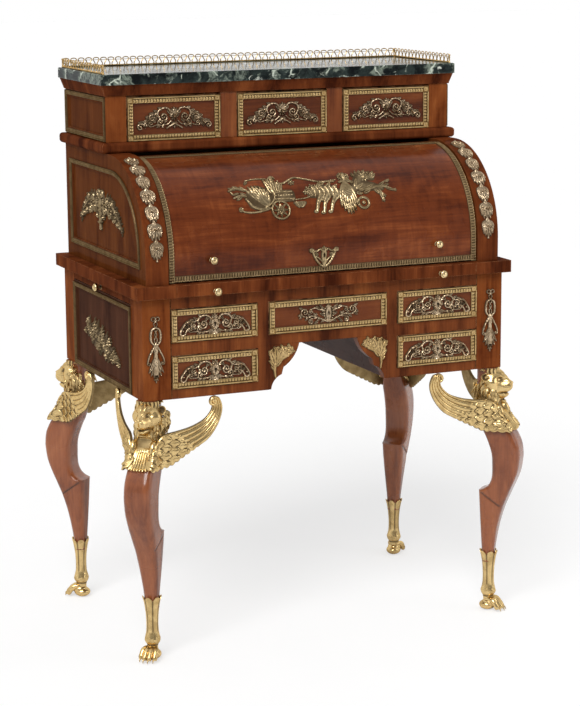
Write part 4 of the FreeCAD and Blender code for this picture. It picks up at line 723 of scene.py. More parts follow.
def makeFloor():
    mesh = bpy.data.meshes.new("floor")
    reach = studio["floorReach"]
    corners = [(x * reach, y * reach, 0) for x, y in ((-1, -1), (1, -1), (1, 1), (-1, 1))]
    mesh.from_pydata(corners, [], [(0, 1, 2, 3)])
    floor = bpy.data.objects.new("floor", mesh)
    scene.collection.objects.link(floor)
    material, tree, place, surface = blankMaterial("paleFloor")
    white = studio["floor"]
    tone = stretch(tree, noiseOn(tree, place, 3.0, 3.0), 0.3, 0.7, white - 0.01, white + 0.01)
    colour = put(tree, "ShaderNodeCombineColor", {0: tone, 1: tone, 2: tone}).outputs[0]
    tree.links.new(colour, surface.inputs["Base Color"])
    surface.inputs["Roughness"].default_value = 0.7
    surface.inputs["Specular IOR Level"].default_value = 0.1
    # the camera sees the floor partly as a lit white backdrop, which keeps the shadow pale
    seen = times(tree, put(tree, "ShaderNodeLightPath").outputs["Is Camera Ray"], studio["glow"])
    lit = put(tree, "ShaderNodeEmission", {"Color": (1, 1, 1, 1), "Strength": 1.0})
    mix = put(tree, "ShaderNodeMixShader", {0: seen, 1: surface.outputs[0], 2: lit.outputs[0]})
    tree.links.new(mix.outputs[0], tree.nodes["Material Output"].inputs["Surface"])
    mesh.materials.append(material)


makeCamera()
makeLights()
makeWorld()
makeFloor()
scene.view_settings.view_transform = "Standard"
print("camera and studio ready")

# reliefs: a sheet holds a height over a flat grid, and shapes raise it to the larger of old and new
def canvas(width, height, cell, cellAcross=None):
    columns = int(round(width / cell)) + 1
    rows = int(round(height / (cellAcross or cell))) + 1
    across, up = np.linspace(-width / 2, width / 2, columns), np.linspace(-height / 2, height / 2, rows)
    p, q = np.meshgrid(across, up)
    return {"p": p, "q": q, "h": np.full(p.shape, -1.0), "soilAndShade": np.zeros(p.shape)}


def region(sheet, low, high):
    # the slice of the sheet between two corners
    i = np.searchsorted(sheet["p"][0], [low[0], high[0]])
    j = np.searchsorted(sheet["q"][:, 0], [low[1], high[1]])
    return np.s_[j[0]:j[1], i[0]:i[1]]


def stamp(sheet, low, high, height):
    # the higher of the relief and a height, within a rectangle
    part = region(sheet, low, high)
    p, q = sheet["p"][part], sheet["q"][part]
    if p.size:
        sheet["h"][part] = np.maximum(sheet["h"][part], height(p, q))


def domed(gap, lift):
    # lift * sqrt(1 - gap^2) inside a gap of 1, falling below the ground outside it
    return np.where(gap < 1, lift * np.sqrt(np.clip(1 - gap**2, 0, 1)), -0.8 * np.clip(gap - 1, 0, 1))


def strand(sheet, path, width, lift):
    # round bar along a smooth line; the width may change from one end to the other
    path = curveThrough(path, 8)
    half = np.interp(np.linspace(0, 1, len(path)), np.linspace(0, 1, np.size(width)), np.ravel(width)) / 2
    reach = half.max() + 1

    def height(p, q):
        gap = np.hypot(p[..., None] - path[:, 0], q[..., None] - path[:, 1]) / half
        return domed(gap.min(-1), lift)

    stamp(sheet, path.min(0) - reach, path.max(0) + reach, height)


def spiral(centre, radius, turns, start, hand=1, inner=0.18, count=26):
    # points at a radius that shrinks evenly with the angle, from the rim to the eye
    f = np.linspace(0, 1, count)
    angle = math.radians(start) + hand * tau * turns * f
    reach = radius * (1 - (1 - inner) * f)
    return np.stack([centre[0] + reach * np.cos(angle), centre[1] + reach * np.sin(angle)], -1)


def scroll(sheet, stem, centre, radius, turns, start, hand, width, lift):
    # a stem that runs into a spiral and ends in a bead
    curl = spiral(centre, radius, turns, start, hand)
    path = np.vstack([np.reshape(stem, (-1, 2)), curl]) if len(stem) else curl
    strand(sheet, path, (width, width * 1.1, width * 0.7), lift)
    bead(sheet, curl[-1], width * 0.75, lift * 1.2)


def bead(sheet, centre, radius, lift):
    # a half ball, domed over its distance from the centre
    reach = radius + 1
    stamp(sheet, np.subtract(centre, reach), np.add(centre, reach),
          lambda p, q: domed(np.hypot(p - centre[0], q - centre[1]) / radius, lift))


def leaf(sheet, root, tip, width, lift, bow=0.0):
    # half width = width / 2 * sin(pi * along^0.7)^0.7 from root to tip, with a furrow down its middle
    root, tip = np.asarray(root, float), np.asarray(tip, float)
    line = tip - root
    length = math.hypot(*line)
    reach = width / 2 + abs(bow) + 1

    def height(p, q):
        along = ((p - root[0]) * line[0] + (q - root[1]) * line[1]) / length**2
        inside = np.clip(along, 0, 1)
        aside = ((q - root[1]) * line[0] - (p - root[0]) * line[1]) / length - bow * np.sin(math.pi * inside)
        half = width / 2 * np.sin(math.pi * inside**0.7)**0.7 + 0.05
        past = np.maximum(-along, along - 1) * length
        gap = np.where(past > 0, 1 + past, np.abs(aside) / half)
        furrow = 0.5 * lift * np.exp(-(aside / (0.2 * half + 0.1))**2) * (gap < 1)
        return domed(gap, lift * (0.7 + 0.3 * inside)) - furrow

    stamp(sheet, np.minimum(root, tip) - reach, np.maximum(root, tip) + reach, height)


def leaves(sheet, width, lift, *spans):
    # leaves of one size, each given as x and y of its root and of its tip
    for x0, y0, x1, y1 in spans:
        leaf(sheet, (x0, y0), (x1, y1), width, lift)


def polar(centre, degrees, reach, tall=None):
    # point at an angle from a centre, on a circle or on an ellipse of another height
    a = math.radians(degrees)
    return centre[0] + reach * math.cos(a), centre[1] + (tall or reach) * math.sin(a)


def rosette(sheet, centre, radius, petals, lift, turn=0.0):
    # edge = radius * (0.78 + 0.22 cos(petals * angle)), a groove round a bead in the middle
    def height(p, q):
        r = np.hypot(p - centre[0], q - centre[1])
        wave = np.cos(petals * (np.arctan2(q - centre[1], p - centre[0]) + turn))
        petal = domed(r / (radius * (0.78 + 0.22 * wave)), lift * (0.72 + 0.28 * wave))
        petal = petal - 0.4 * lift * np.exp(-((r / radius - 0.38) / 0.1)**2)
        return np.maximum(petal, domed(r / (0.3 * radius), 1.2 * lift))

    stamp(sheet, np.subtract(centre, radius + 1), np.add(centre, radius + 1), height)


def palmette(sheet, root, angle, size, lobes, spread, lift, width=0.4):
    # leaves fanned about a direction, the middle one longest, and a bead at their root
    for share in np.linspace(-1, 1, lobes):
        tip = polar(root, angle + share * spread, size * (1 - 0.35 * abs(share)**1.4))
        leaf(sheet, root, tip, width * size, lift, share * 0.1 * size)
    bead(sheet, root, 0.13 * size, lift * 1.1)


def garland(sheet, path, size, count, lift, taper=0.4):
    # flowers along a line, each with a leaf on either side, smaller towards the end
    spots = evenly(path, count)
    ways = unit(np.gradient(spots, axis=0))
    for number, (spot, way) in enumerate(zip(spots, ways)):
        scale = size * (1 - taper * number / (count - 1))
        side = np.array([-way[1], way[0]])
        for turn in (-1, 1):
            leaf(sheet, spot, spot + scale * (0.95 * turn * side + 0.5 * way), 0.55 * scale, 0.8 * lift)
        rosette(sheet, spot, 0.62 * scale, 5 + number % 2, 1.1 * lift, number)


def vase(sheet, x, levels, halves, lift):
    # body about an upright line whose half width goes through the given values at the given levels
    def height(p, q):
        half = np.interp(q, levels, halves)
        past = np.maximum(levels[0] - q, q - levels[-1])
        gap = np.where(past > 0, 1 + past, np.abs(p - x) / np.maximum(half, 0.1))
        return domed(gap, lift)

    reach = max(halves) + 1
    stamp(sheet, (x - reach, levels[0] - 1), (x + reach, levels[-1] + 1), height)


def pierce(sheet, centre, radius, stretchUp=1.0, depth=0.3):
    # a sunk oval painted fully dark as the shade in an opening, such as a keyhole or the space between spokes
    gap = np.hypot(sheet["p"] - centre[0], (sheet["q"] - centre[1]) / stretchUp) / radius
    sheet["h"] = np.where(gap < 1, np.minimum(sheet["h"], depth), sheet["h"])
    sheet["soilAndShade"] = np.where(gap < 1, 1.0, sheet["soilAndShade"])


def softened(height, passes):
    # each pass averages a point with its four neighbours
    for _ in range(passes):
        wide = np.pad(height, 1, mode="edge")
        middle = wide[1:-1, 1:-1] * 2
        height = (middle + wide[:-2, 1:-1] + wide[2:, 1:-1] + wide[1:-1, :-2] + wide[1:-1, 2:]) / 6
    return height


reliefBack, reliefHollow = -0.6, 1.02  # depth of a relief's back, and of a hollow that takes full dirt and painted shade


def raised(sheet, place, mirror=False, tall=1.0, chase=0.0):
    # cells that rise above the ground become a closed plate; hollows and feet of the relief hold dirt and
    # painted shade
    height, soilAndShade = sheet["h"], sheet["soilAndShade"]
    if mirror:
        height = np.maximum(height, height[:, ::-1])
        soilAndShade = np.maximum(soilAndShade, soilAndShade[:, ::-1])
    # chasing: wavering furrows cut into what stands high, chase * sin(slanted distance + slow waves)
    p, q = np.abs(sheet["p"]) if mirror else sheet["p"], sheet["q"]
    furrow = np.sin(0.75 * p + 0.55 * q + 2.2 * np.sin(0.11 * p - 0.16 * q) + 1.5 * np.sin(0.21 * q))
    # on chased mounts the lower parts are darkened: painted shade
    if chase > 0:
        soilAndShade = np.maximum(soilAndShade, 0.75 * (1 - ramp(height, 1.2, 2.9)))
    height = np.where(height > 0, tall * height + chase * furrow * ramp(height, 1.0, 2.4), height)
    height = np.maximum(height, -0.5)
    solid = np.maximum(height, 0)
    # hollows below the softened relief and the feet near the ground are darkened: painted shade with dirt
    dirtAndShade = np.clip((softened(solid, 10) - solid) / reliefHollow, 0, 1)
    dirtAndShade = np.maximum(np.maximum(dirtAndShade, 0.8 * np.clip(1 - height / 0.5, 0, 1)), soilAndShade)
    rows, columns = height.shape
    quads = gridQuads(rows, columns)
    quads = quads[(height.ravel()[quads] > 0).any(1)]
    used, faces = np.unique(quads, return_inverse=True)
    faces = faces.reshape(-1, 4)
    count = len(used)
    p, q, h = sheet["p"].ravel()[used], sheet["q"].ravel()[used], height.ravel()[used]
    points = np.vstack([place(p, q, h), place(p, q, np.full(count, reliefBack))])
    edges = np.vstack([faces[:, [k, (k + 1) % 4]] for k in range(4)])
    rim = edges[~np.isin(edges[:, 0] * count + edges[:, 1], edges[:, 1] * count + edges[:, 0])]
    wall = np.stack([rim[:, 1], rim[:, 0], rim[:, 0] + count, rim[:, 1] + count], -1)
    dirtAndShade = np.concatenate([dirtAndShade.ravel()[used], np.ones(count)])
    return shell(points, np.vstack([faces, faces[:, ::-1] + count, wall]), None, dirtAndShade)


# places for reliefs: flat fronts, the curved fall and ends, and the sides of the case
def onFront(x, y, z, turn=0):
    c, s = math.cos(math.radians(turn)), math.sin(math.radians(turn))
    return lambda p, q, h: np.stack([x + p * c - q * s, y - h, z + p * s + q * c], -1)


def onRoll(x, start, radius):
    # q runs up the straight foot and then round the curve of the given radius
    def place(p, q, h):
        run = start + q
        angle = np.maximum(run, 0) / radius
        y = desk["axisY"] - (radius + h) * np.cos(angle)
        z = desk["axisZ"] + (radius + h) * np.sin(angle) + np.minimum(run, 0)
        return np.stack([x + p, y, z], -1)
    return place


def onSide(sign, x, y, z):
    # the left side as a viewer sees it, mirrored for the right side
    return lambda p, q, h: np.stack([sign * (x + h), y - p, z + q], -1)


# drawer gilding: frames of tongues with a rosette at each corner, and a pierced mount in the middle
gilding = {"frameWidth": 13, "pitch": 6.4, "cell": 0.85, "mountCell": 0.72}


def tongueBar(length):
    # a flat outer fillet, rounded tongues with small dark gaps, and a thin inner line
    width = gilding["frameWidth"]
    sheet = canvas(length, width, gilding["cell"], width / 12)
    v = sheet["q"] / width + 0.5
    count = max(1, round(length / gilding["pitch"]))
    wave = np.clip(0.72 - 0.9 * np.cos(tau * count * (sheet["p"] / length + 0.5)), 0, 1)
    outer = 4.6 * np.clip(1 - ((v - 0.17) / 0.17)**6, 0, 1)**0.5
    tongue = (2.2 + 1.5 * wave**0.6) * np.sqrt(np.clip(1 - ((v - 0.62) / 0.27)**4, 0, 1))
    inner = 3.0 * np.sqrt(np.clip(1 - ((v - 0.94) / 0.07)**2, 0, 1))
    sheet["h"] = np.maximum(np.maximum(outer, tongue), np.maximum(inner, 1.0))
    # gaps between the tongues and the groove inside the fillet are darkened: painted shade
    gaps = ((v > 0.44) & (v < 0.8)) * np.clip(0.72 - 1.9 * wave, 0, 1)
    sheet["soilAndShade"] = np.maximum(gaps, 0.35 * np.exp(-((v - 0.36) / 0.03)**2))
    return sheet


def cornerBlock():
    # a square with a raised edge and a rosette
    width = gilding["frameWidth"]
    sheet = canvas(width, width, gilding["cell"])
    edge = np.maximum(np.abs(sheet["p"]), np.abs(sheet["q"])) / (width / 2)
    sheet["h"] = np.maximum(2.6, 4.2 * np.sqrt(np.clip(1 - ((edge - 0.88) / 0.13)**2, 0, 1)))
    # the sunk field inside the raised edge is darkened: painted shade
    sheet["soilAndShade"] = np.where(edge < 0.74, 0.25, 0.0)
    rosette(sheet, (0, 0), 4.6, 6, 4.2)
    sheet["soilAndShade"] = np.where(sheet["h"] > 2, 0.0, sheet["soilAndShade"])
    return sheet


def tongueFrame(x, y, z, width, height):
    # four bars between four corner blocks, just inside the given size
    edge = gilding["frameWidth"]
    parts = []
    for turn in (0, 90, 180, 270):
        length, reach = (height, width) if turn % 180 else (width, height)
        out = (reach - edge) / 2
        a = math.radians(turn)
        middle = (x + out * math.sin(a), z - out * math.cos(a))
        parts.append(raised(tongueBar(length - 2 * edge), onFront(middle[0], y, middle[1], turn)))
    for sx in (-1, 1):
        for sz in (-1, 1):
            spot = (x + sx * (width - edge) / 2, z + sz * (height - edge) / 2)
            parts.append(raised(cornerBlock(), onFront(spot[0], y, spot[1])))
    return parts


def sideMount():
    # tulip shield with keyhole and flame leaves, volutes, leafy scrolls and a looped curl at each end
    sheet = canvas(158, 46, gilding["mountCell"])
    strand(sheet, [(7, 9), (14, 16), (23, 18), (32, 15), (37, 8)], (3.6, 5.0, 3.6), 3.0)
    scroll(sheet, [(37, 8), (35, 1)], (24.5, 0), 10, 1.5, 20, -1, 3.6, 3.0)
    scroll(sheet, [(10, -13), (17, -16), (26, -16)], (32, -9), 7, 1.2, -80, 1, 3.2, 2.8)
    scroll(sheet, [(37, 9), (44, 6)], (46, 0), 6.5, 1.2, 90, -1, 3.2, 2.8)
    scroll(sheet, [(38, -14), (46, -14)], (52, -9), 5.5, 1.1, -90, 1, 2.8, 2.6)
    leaves(sheet, 6.5, 2.9, (26, 14, 36, 21), (14, 14, 20, 6), (36, 9, 46, 15), (16, -3, 21, 5),
           (30, 2, 38, -7), (20, -14, 29, -21), (30, -15, 39, -20), (44, 8, 54, 11), (40, -4, 47, -10),
           (54, 4, 62, 8), (56, -6, 62, -12), (6, 6, 13, -3))
    garland(sheet, [(50, 6), (57, 2), (63, -4)], 8, 3, 3.0, 0.2)
    strand(sheet, [(50, 9), (62, 5), (70, -5), (75, -14), (72, -20), (66, -20)], (2.8, 4.6, 5.6), 3.3)
    strand(sheet, [(58, -6), (62, -12), (65, -19)], (3.0, 4.4), 3.0)
    for spot in ((69, -11), (42, -8), (24, 0)):
        bead(sheet, spot, 2.4, 3.2)
    for tip in ((6, -21), (14, -21), (20, -17)):
        leaf(sheet, (2, -12), tip, 6.5, 2.8)
    vase(sheet, 0, (-13, -9, -2, 6, 10), (1.5, 8, 11.5, 11, 12), 3.2)
    strand(sheet, [(-12, 10), (0, 8), (12, 10)], 3.2, 3.8)
    strand(sheet, [(9, 8), (9, 0), (4, -9), (0, -12)], 2.4, 3.8)
    vase(sheet, 0, (-22, -20, -15, -12), (9, 8, 2.5, 2), 3.2)
    palmette(sheet, (0, 9), 90, 13, 5, 55, 3.6)
    pierce(sheet, (0, 1), 2.2)
    pierce(sheet, (0, -3.0), 1.3, 2.2)
    return sheet


def upperMount():
    # a leafy rosette between S-scrolls, leafy garlands that fall to C-curls, and a palmette below
    sheet = canvas(172, 52, gilding["mountCell"])
    strand(sheet, [(6, 12), (14, 20), (24, 21), (34, 16), (37, 8)], (3.6, 5.0, 3.6), 3.0)
    scroll(sheet, [(37, 8), (33, 1)], (24, 3), 9.5, 1.4, -20, -1, 3.6, 2.8)
    scroll(sheet, [(8, -6), (15, -12), (24, -14)], (31, -8), 7, 1.2, -80, 1, 3.2, 2.8)
    scroll(sheet, [(38, 10), (46, 8)], (49, 1), 7, 1.2, 90, -1, 3.2, 2.8)
    scroll(sheet, [(36, -13), (45, -15)], (52, -11), 6, 1.1, -90, 1, 3.0, 2.6)
    leaves(sheet, 7, 2.9, (14, 17, 9, 8), (26, 18, 37, 23), (20, -11, 29, -19), (36, 12, 46, 17),
           (30, -13, 40, -19), (46, 8, 56, 11), (54, 3, 64, 4), (42, -2, 46, -10), (58, -4, 66, -4),
           (58, -10, 64, -17), (66, -9, 76, -5), (16, -2, 22, -9))
    garland(sheet, [(40, 6), (51, 1), (61, -7), (67, -14)], 10.5, 5, 3.2, 0.4)
    scroll(sheet, [(64, -8), (68, -13)], (75.5, -17), 8, 1.2, 160, -1, 3.6, 3.2)
    leaf(sheet, (68, -12), (80, -6), 6, 2.6)
    for angle in range(0, 181, 30):
        leaf(sheet, (0, 5), polar((0, 5), angle, 12, 19), 7.5, 3.2)
    rosette(sheet, (0, 3), 10, 8, 4.2)
    palmette(sheet, (0, -10), -90, 12, 5, 75, 3.2)
    for sign in (-1, 1):
        strand(sheet, [(0, -12), (sign * 9, -16), (sign * 17, -21)], (3.6, 4.4), 3.0)
    return sheet


def centreMount():
    # an oval cartouche with keyhole between leaf wings, and leafy branches with two spirals on each side
    sheet = canvas(144, 42, gilding["mountCell"])
    strand(sheet, [(2, -17), (16, -10), (28, -5), (40, -2)], (4.4, 3.2), 2.6)
    scroll(sheet, [(36, -2), (44, -4), (54, -3)], (54, 6), 9, 1.4, -90, 1, 3.2, 2.8)
    scroll(sheet, [(24, -6), (32, -7), (40, -8)], (40, -14), 6, 1.4, 90, -1, 2.8, 2.6)
    strand(sheet, [(12, 8), (22, 10), (31, 14), (40, 11)], (3.6, 2.6), 2.6)
    scroll(sheet, [(34, 13)], (39, 7), 5.5, 1.1, 100, -1, 2.6, 2.6)
    leaves(sheet, 6, 2.9, (9, 3, 18, 12), (10, 9, 21, 19), (9, -3, 20, 2), (20, 10, 29, 18),
           (28, -4, 35, 4), (58, 12, 67, 17), (8, -12, 19, -18), (61, 2, 69, -1), (18, -8, 27, -13),
           (46, -4, 53, -11), (30, -4, 27, 3), (42, -2, 47, 4), (60, -2, 67, -7), (24, -14, 33, -19))
    for angle in range(-80, 81, 20):
        bead(sheet, polar((0, 1), angle, 10.2, 16), 2.2, 3.4)
    vase(sheet, 0, (-16, -12, -4, 6, 13, 17), (0.1, 5.5, 8, 8, 5.5, 0.1), 2.6)
    palmette(sheet, (0, 14), 90, 8, 5, 70, 3.6)
    pierce(sheet, (0, 3), 1.9)
    pierce(sheet, (0, -0.5), 1.1, 2.2)
    return sheet


mounts = {"side": sideMount(), "upper": upperMount(), "centre": centreMount()}
drawerKinds = {
    "lower_row_right": "side", "lower_row_left": "side", "upper_row_right": "side", "upper_row_left": "side",
    "centre": "centre", "top_right": "upper", "top_left": "upper", "top_centre": "upper",
}
for drawerName, kind in drawerKinds.items():
    low, high = boxOf("drawer_trim_" + drawerName)
    x, z = (low[0] + high[0]) / 2, (low[2] + high[2]) / 2
    face = high[1]
    parts = tongueFrame(x, face, z, high[0] - low[0], high[2] - low[2])
    parts.append((raised(mounts[kind], onFront(x, face, z), True, 1.6, 0.7), 1))
    makePiece(drawerName + "_gilding", parts, [gilts["frame"], gilts["mount"]],
              drawerName + "_drawer", ("drawer_trim_" + drawerName,))
print("drawer gilding made")

# fall: a frieze in relief, the escutcheon, an edge strip on all four sides and two turned knobs
fallTrim = {"friezeWidth": 382, "friezeHeight": 108, "friezeAngle": 36.4, "stripWidth": 13, "ribPitch": 5.8,
            "friezeX": -12, "keyX": -7, "keyZ": 816, "topAngle": 84, "sideGap": 1, "footGap": 2}


def fallFrieze():
    # a car with a wheel and a draped rider, a maned beast, a fan-skirted figure and trailing boughs
    sheet = canvas(fallTrim["friezeWidth"], fallTrim["friezeHeight"], 0.85)
    # boughs at the left end
    for path in ([(-186, 17), (-172, 22), (-156, 18)], [(-178, 0), (-166, 4), (-152, 2)],
                 [(-182, 14), (-178, 8), (-168, 10)]):
        strand(sheet, path, (4.5, 6), 2.6)
    leaves(sheet, 8, 3.0, (-160, 20, -176, 28), (-170, 20, -186, 24), (-160, 3, -174, -6),
           (-150, 14, -160, 27), (-150, 4, -164, 12))
    # shell of the car, its rim and its long lower scroll
    vase(sheet, -122, (-30, -24, -8, 8, 20, 26), (12, 24, 31, 28, 18, 6), 1.5)
    for share in np.linspace(0, 1, 7):
        tip = (-152 + 50 * share, 10 + 18 * math.sin(math.pi * (0.2 + 0.7 * share)))
        leaf(sheet, (-108, -24), tip, 12, 4.0)
    strand(sheet, [(-153, -4), (-142, -20), (-126, -28), (-108, -26)], (5, 6), 3.8)
    strand(sheet, [(-97, 22), (-90, 10), (-90, -4), (-100, -17), (-113, -24)], (4, 4.5), 4.2)
    strand(sheet, [(-168, -28), (-158, -33), (-138, -34), (-118, -31), (-99, -26)], (4, 5), 3.6)
    scroll(sheet, [], (-168, -26), 5, 1.2, -90, -1, 3.0, 3.4)
    vase(sheet, -68, (-15, -9, 6, 13), (22, 25, 25, 20), 1.8)
    strand(sheet, [(-92, 7), (-70, 8), (-49, 8)], 3.5, 3.6)
    strand(sheet, [(-90, -8), (-70, -8), (-47, -9)], 3.5, 3.4)
    for x in range(-86, -48, 6):
        bead(sheet, (x, 0), 2.2, 3.4)
    # wheel: a rim, a hub and eight spokes
    wheel = (-82, -32)
    strand(sheet, spiral(wheel, 19, 1, 0, 1, 1.0, 24), 4.4, 4.2)
    for angle in range(0, 360, 45):
        leaf(sheet, wheel, polar(wheel, angle, 18), 6, 3.4)
    rosette(sheet, wheel, 7, 6, 4.4)
    # rider: folds of a cloak, an arm with a staff, and a small head
    for share in np.linspace(-1, 1, 6):
        tip = (-85 + 20 * share, 42 - 5 * share - 6 * share**2)
        leaf(sheet, (-84 + 10 * share, 6), tip, 11, 4.0, 2 * share)
    strand(sheet, [(-76, 30), (-66, 28), (-58, 31)], (5, 4), 4.0)
    strand(sheet, [(-142, 41), (-120, 44), (-98, 43)], (3.4, 4), 2.8)
    leaf(sheet, (-140, 40), (-148, 30), 7, 2.8)
    vase(sheet, -86, (31, 34, 39, 44, 46), (3, 5, 5.6, 4.4, 1.5), 4.6)
    strand(sheet, [(-94, 38), (-91, 44), (-84, 47), (-78, 42)], (4, 5, 3), 4.2)
    # pole and reins
    strand(sheet, [(-60, 29), (-46, 38), (-32, 42), (-8, 36), (20, 28), (56, 30)], (4.5, 4, 4), 3.2)
    strand(sheet, [(-50, -12), (-20, -9), (10, 1), (34, 4)], (4, 3.4), 2.8)
    rosette(sheet, (-44, 31), 9, 7, 3.6)
    vase(sheet, -36, (-30, -26, -20, -16), (4, 10, 15, 14), 3.0)
    # beast: curled mane, body, and three slanted legs with paws
    for spot in ((-18, 4), (-11, 12), (-2, 17), (7, 15), (-8, 3), (2, 8), (11, 7), (17, 16), (22, 24)):
        rosette(sheet, spot, 6.8, 5, 4.0, spot[0])
    strand(sheet, [(-4, 2), (14, 5), (34, 5), (54, -2)], (24, 30, 30, 22), 2.2)
    leaves(sheet, 10, 4.4, (20, -4, 14, -20), (30, 10, 44, 26), (10, 12, 20, 28), (44, 8, 56, 18))
    for x in (-2, 8, 18, 28, 38, 48):
        strand(sheet, [(x, 14), (x + 5, 4), (x + 3, -8)], (3, 5, 3), 3.8)
    for top, foot in (((16, -6), (-2, -40)), ((30, -8), (14, -43)), ((50, -8), (30, -42))):
        knee = ((top[0] + foot[0]) / 2 - 2, (top[1] + foot[1]) / 2 + 3)
        strand(sheet, [top, knee, foot], (14, 9, 7), 4.0)
        bead(sheet, (foot[0] - 3, foot[1]), 4.2, 3.4)
    strand(sheet, [(24, 20), (30, 26), (40, 27), (52, 26)], (3.4, 3), 2.8)
    # fan-skirted figure in the middle right
    for share in np.linspace(-1, 1, 7):
        leaf(sheet, (76, 26), (74 + 19 * share, -51 + 16 * share**2), 13, 4.2, 3 * share)
    strand(sheet, [(64, 24), (72, 26), (84, 26), (92, 22)], (6, 7), 4.2)
    for angle in range(0, 360, 40):
        rosette(sheet, polar((77, 37), angle, 10, 9), 5, 5, 3.4, math.radians(angle))
    vase(sheet, 77, (28, 32, 38, 43, 45), (3, 5, 5.6, 4, 1.5), 4.8)
    # a second beast's body and mane, loops, a round boss and foliage to the right
    strand(sheet, [(92, 6), (112, 12), (134, 10), (156, 4)], (26, 30, 22, 12), 1.8)
    strand(sheet, [(104, 20), (114, 32), (126, 36), (140, 32)], (22, 28, 16), 1.8)
    strand(sheet, spiral((107, -27), 12, 1.05, 90, 1, 0.95, 20), 6, 3.8)
    bead(sheet, (107, -27), 4.5, 3.2)
    rosette(sheet, (124, 34), 14, 9, 3.4)
    garland(sheet, [(100, 40), (112, 46), (128, 48), (144, 40)], 8, 6, 3.2, 0.1)
    leaves(sheet, 8, 4.0, (96, 10, 104, 30), (98, 6, 116, 16), (104, 0, 124, 8), (112, -6, 132, 2),
           (96, -4, 110, -8), (120, 4, 140, 14), (140, 30, 152, 40), (138, 36, 150, 48))
    strand(sheet, [(100, 6), (124, 2), (146, 8), (166, 6), (184, -2)], (5, 5, 4), 3.2)
    leaves(sheet, 8, 3.0, (150, 8, 168, 20), (158, 8, 176, 12), (146, 4, 156, -14), (150, -4, 154, -26),
           (166, 4, 188, -4), (140, 4, 146, -10), (168, 18, 180, 24))
    for spot in ((154, -24), (158, -14), (172, 20), (186, -2)):
        rosette(sheet, spot, 5, 5, 3.2)
    return sheet


def escutcheon():
    # a shield drawn to a point below, with knobbed horns, the keyhole under a palmette, and a pierced field
    sheet = canvas(68, 52, 0.75)
    strand(sheet, [(0, -22), (8, -17), (16, -8), (22, 2), (25, 10)], (7, 6, 5.5, 5), 3.6)
    scroll(sheet, [(23, 4), (26, 11)], (28.5, 13), 5, 1.1, 200, -1, 4.0, 3.6)
    strand(sheet, [(26, 12), (16, 12), (9, 16), (3, 12)], (5, 4, 4.5), 3.2)
    strand(sheet, [(2, -16), (6, -8), (14, -1), (22, 3)], (4, 3), 2.8)
    leaf(sheet, (12, 3), (22, 9), 6, 2.8)
    leaf(sheet, (6, -8), (13, -3), 5, 2.6)
    vase(sheet, 0, (-20, -10, 0, 8, 13), (2.5, 5, 6.5, 6.5, 4), 3.4)
    palmette(sheet, (0, 11), 90, 12, 5, 60, 3.6)
    pierce(sheet, (0, 5), 2.2)
    pierce(sheet, (0, 1.2), 1.3, 2.2)
    return sheet


def edgeStrip(length):
    # a low strip ribbed across, cos(2 pi along / pitch) high, between two plain edges
    width = fallTrim["stripWidth"]
    sheet = canvas(width, length, width / 9, 1.1)
    v = np.abs(sheet["p"]) / (width / 2)
    rib = np.clip(0.55 + 0.8 * np.cos(tau * sheet["q"] / fallTrim["ribPitch"]), 0, 1)
    edge = 2.6 * np.sqrt(np.clip(1 - ((v - 0.86) / 0.14)**2, 0, 1))
    sheet["h"] = np.maximum((0.8 + 1.6 * rib) * (v < 0.78), np.maximum(edge, 0.4))
    # troughs between the ribs are darkened: painted shade
    sheet["soilAndShade"] = 0.6 * (1 - rib) * (v < 0.72)
    return sheet


def turnedWay(place):
    # the same place with the relief's two directions exchanged, for strips that run across
    return lambda p, q, h: place(q, -p, h)


def knobAt(place, axis):
    # a turned knob: flange, neck, swelling head and a small button
    profile = [(5.2, 0), (5.4, 1.0), (3.6, 2.0), (3.2, 4.5), (3.6, 6.5), (6.6, 8.2), (8.2, 10.6), (8.5, 13),
               (7.8, 15.2), (6.4, 16.6), (5.6, 16.9), (4.6, 17.6), (2.6, 18.6), (0.6, 19)]
    # darker in the neck and grooves: painted shade with dirt
    dirtAndShade = [0.8, 0.3, 0.9, 0.7, 0.5, 0.2, 0, 0, 0, 0.25, 0.8, 0.3, 0, 0]
    return turned(profile, 26, place, axis, dirtAndShade)


radius = desk["fallRadius"]
middle = radius * math.radians(fallTrim["friezeAngle"])
keyRun = fallTrim["keyZ"] - desk["axisZ"]
parts = [raised(fallFrieze(), onRoll(fallTrim["friezeX"], middle, radius), False, 1.05, 0.2),
         raised(escutcheon(), onRoll(fallTrim["keyX"], keyRun, radius), True, 1.1, 0.3)]
makePiece("fall_gilding", parts, [gilts["antique"]], "fall", ("fall_mounts",))
low, high = boxOf("cylinder_fall")
half = high[0] - fallTrim["stripWidth"] / 2 - fallTrim["sideGap"]
topRun = radius * math.radians(fallTrim["topAngle"])
footRun = low[2] - desk["axisZ"] + fallTrim["footGap"]
parts = []
for sign in (-1, 1):
    parts.append(raised(edgeStrip(topRun - footRun), onRoll(sign * half, (topRun + footRun) / 2, radius)))
for run in (topRun, footRun + fallTrim["stripWidth"] / 2):
    parts.append(raised(edgeStrip(2 * half), turnedWay(onRoll(0, run, radius))))
makePiece("fall_edge_strips", parts, [gilts["strip"]], "fall")
frontKnobs = {"x": 255, "fall": {"y": -243.5, "z": 825.6}, "slide": {"y": -263.6, "z": 765.2}}
for kind, body in (("fall", "fall"), ("slide", "writing_surface")):
    spot = frontKnobs[kind]
    parts = [knobAt((sign * frontKnobs["x"], spot["y"], spot["z"]), (0, -1, 0)) for sign in (-1, 1)]
    makePiece(kind + "_knobs_turned", parts, [gilts["knob"]], body, (kind + "_knobs",))
print("fall trim made")

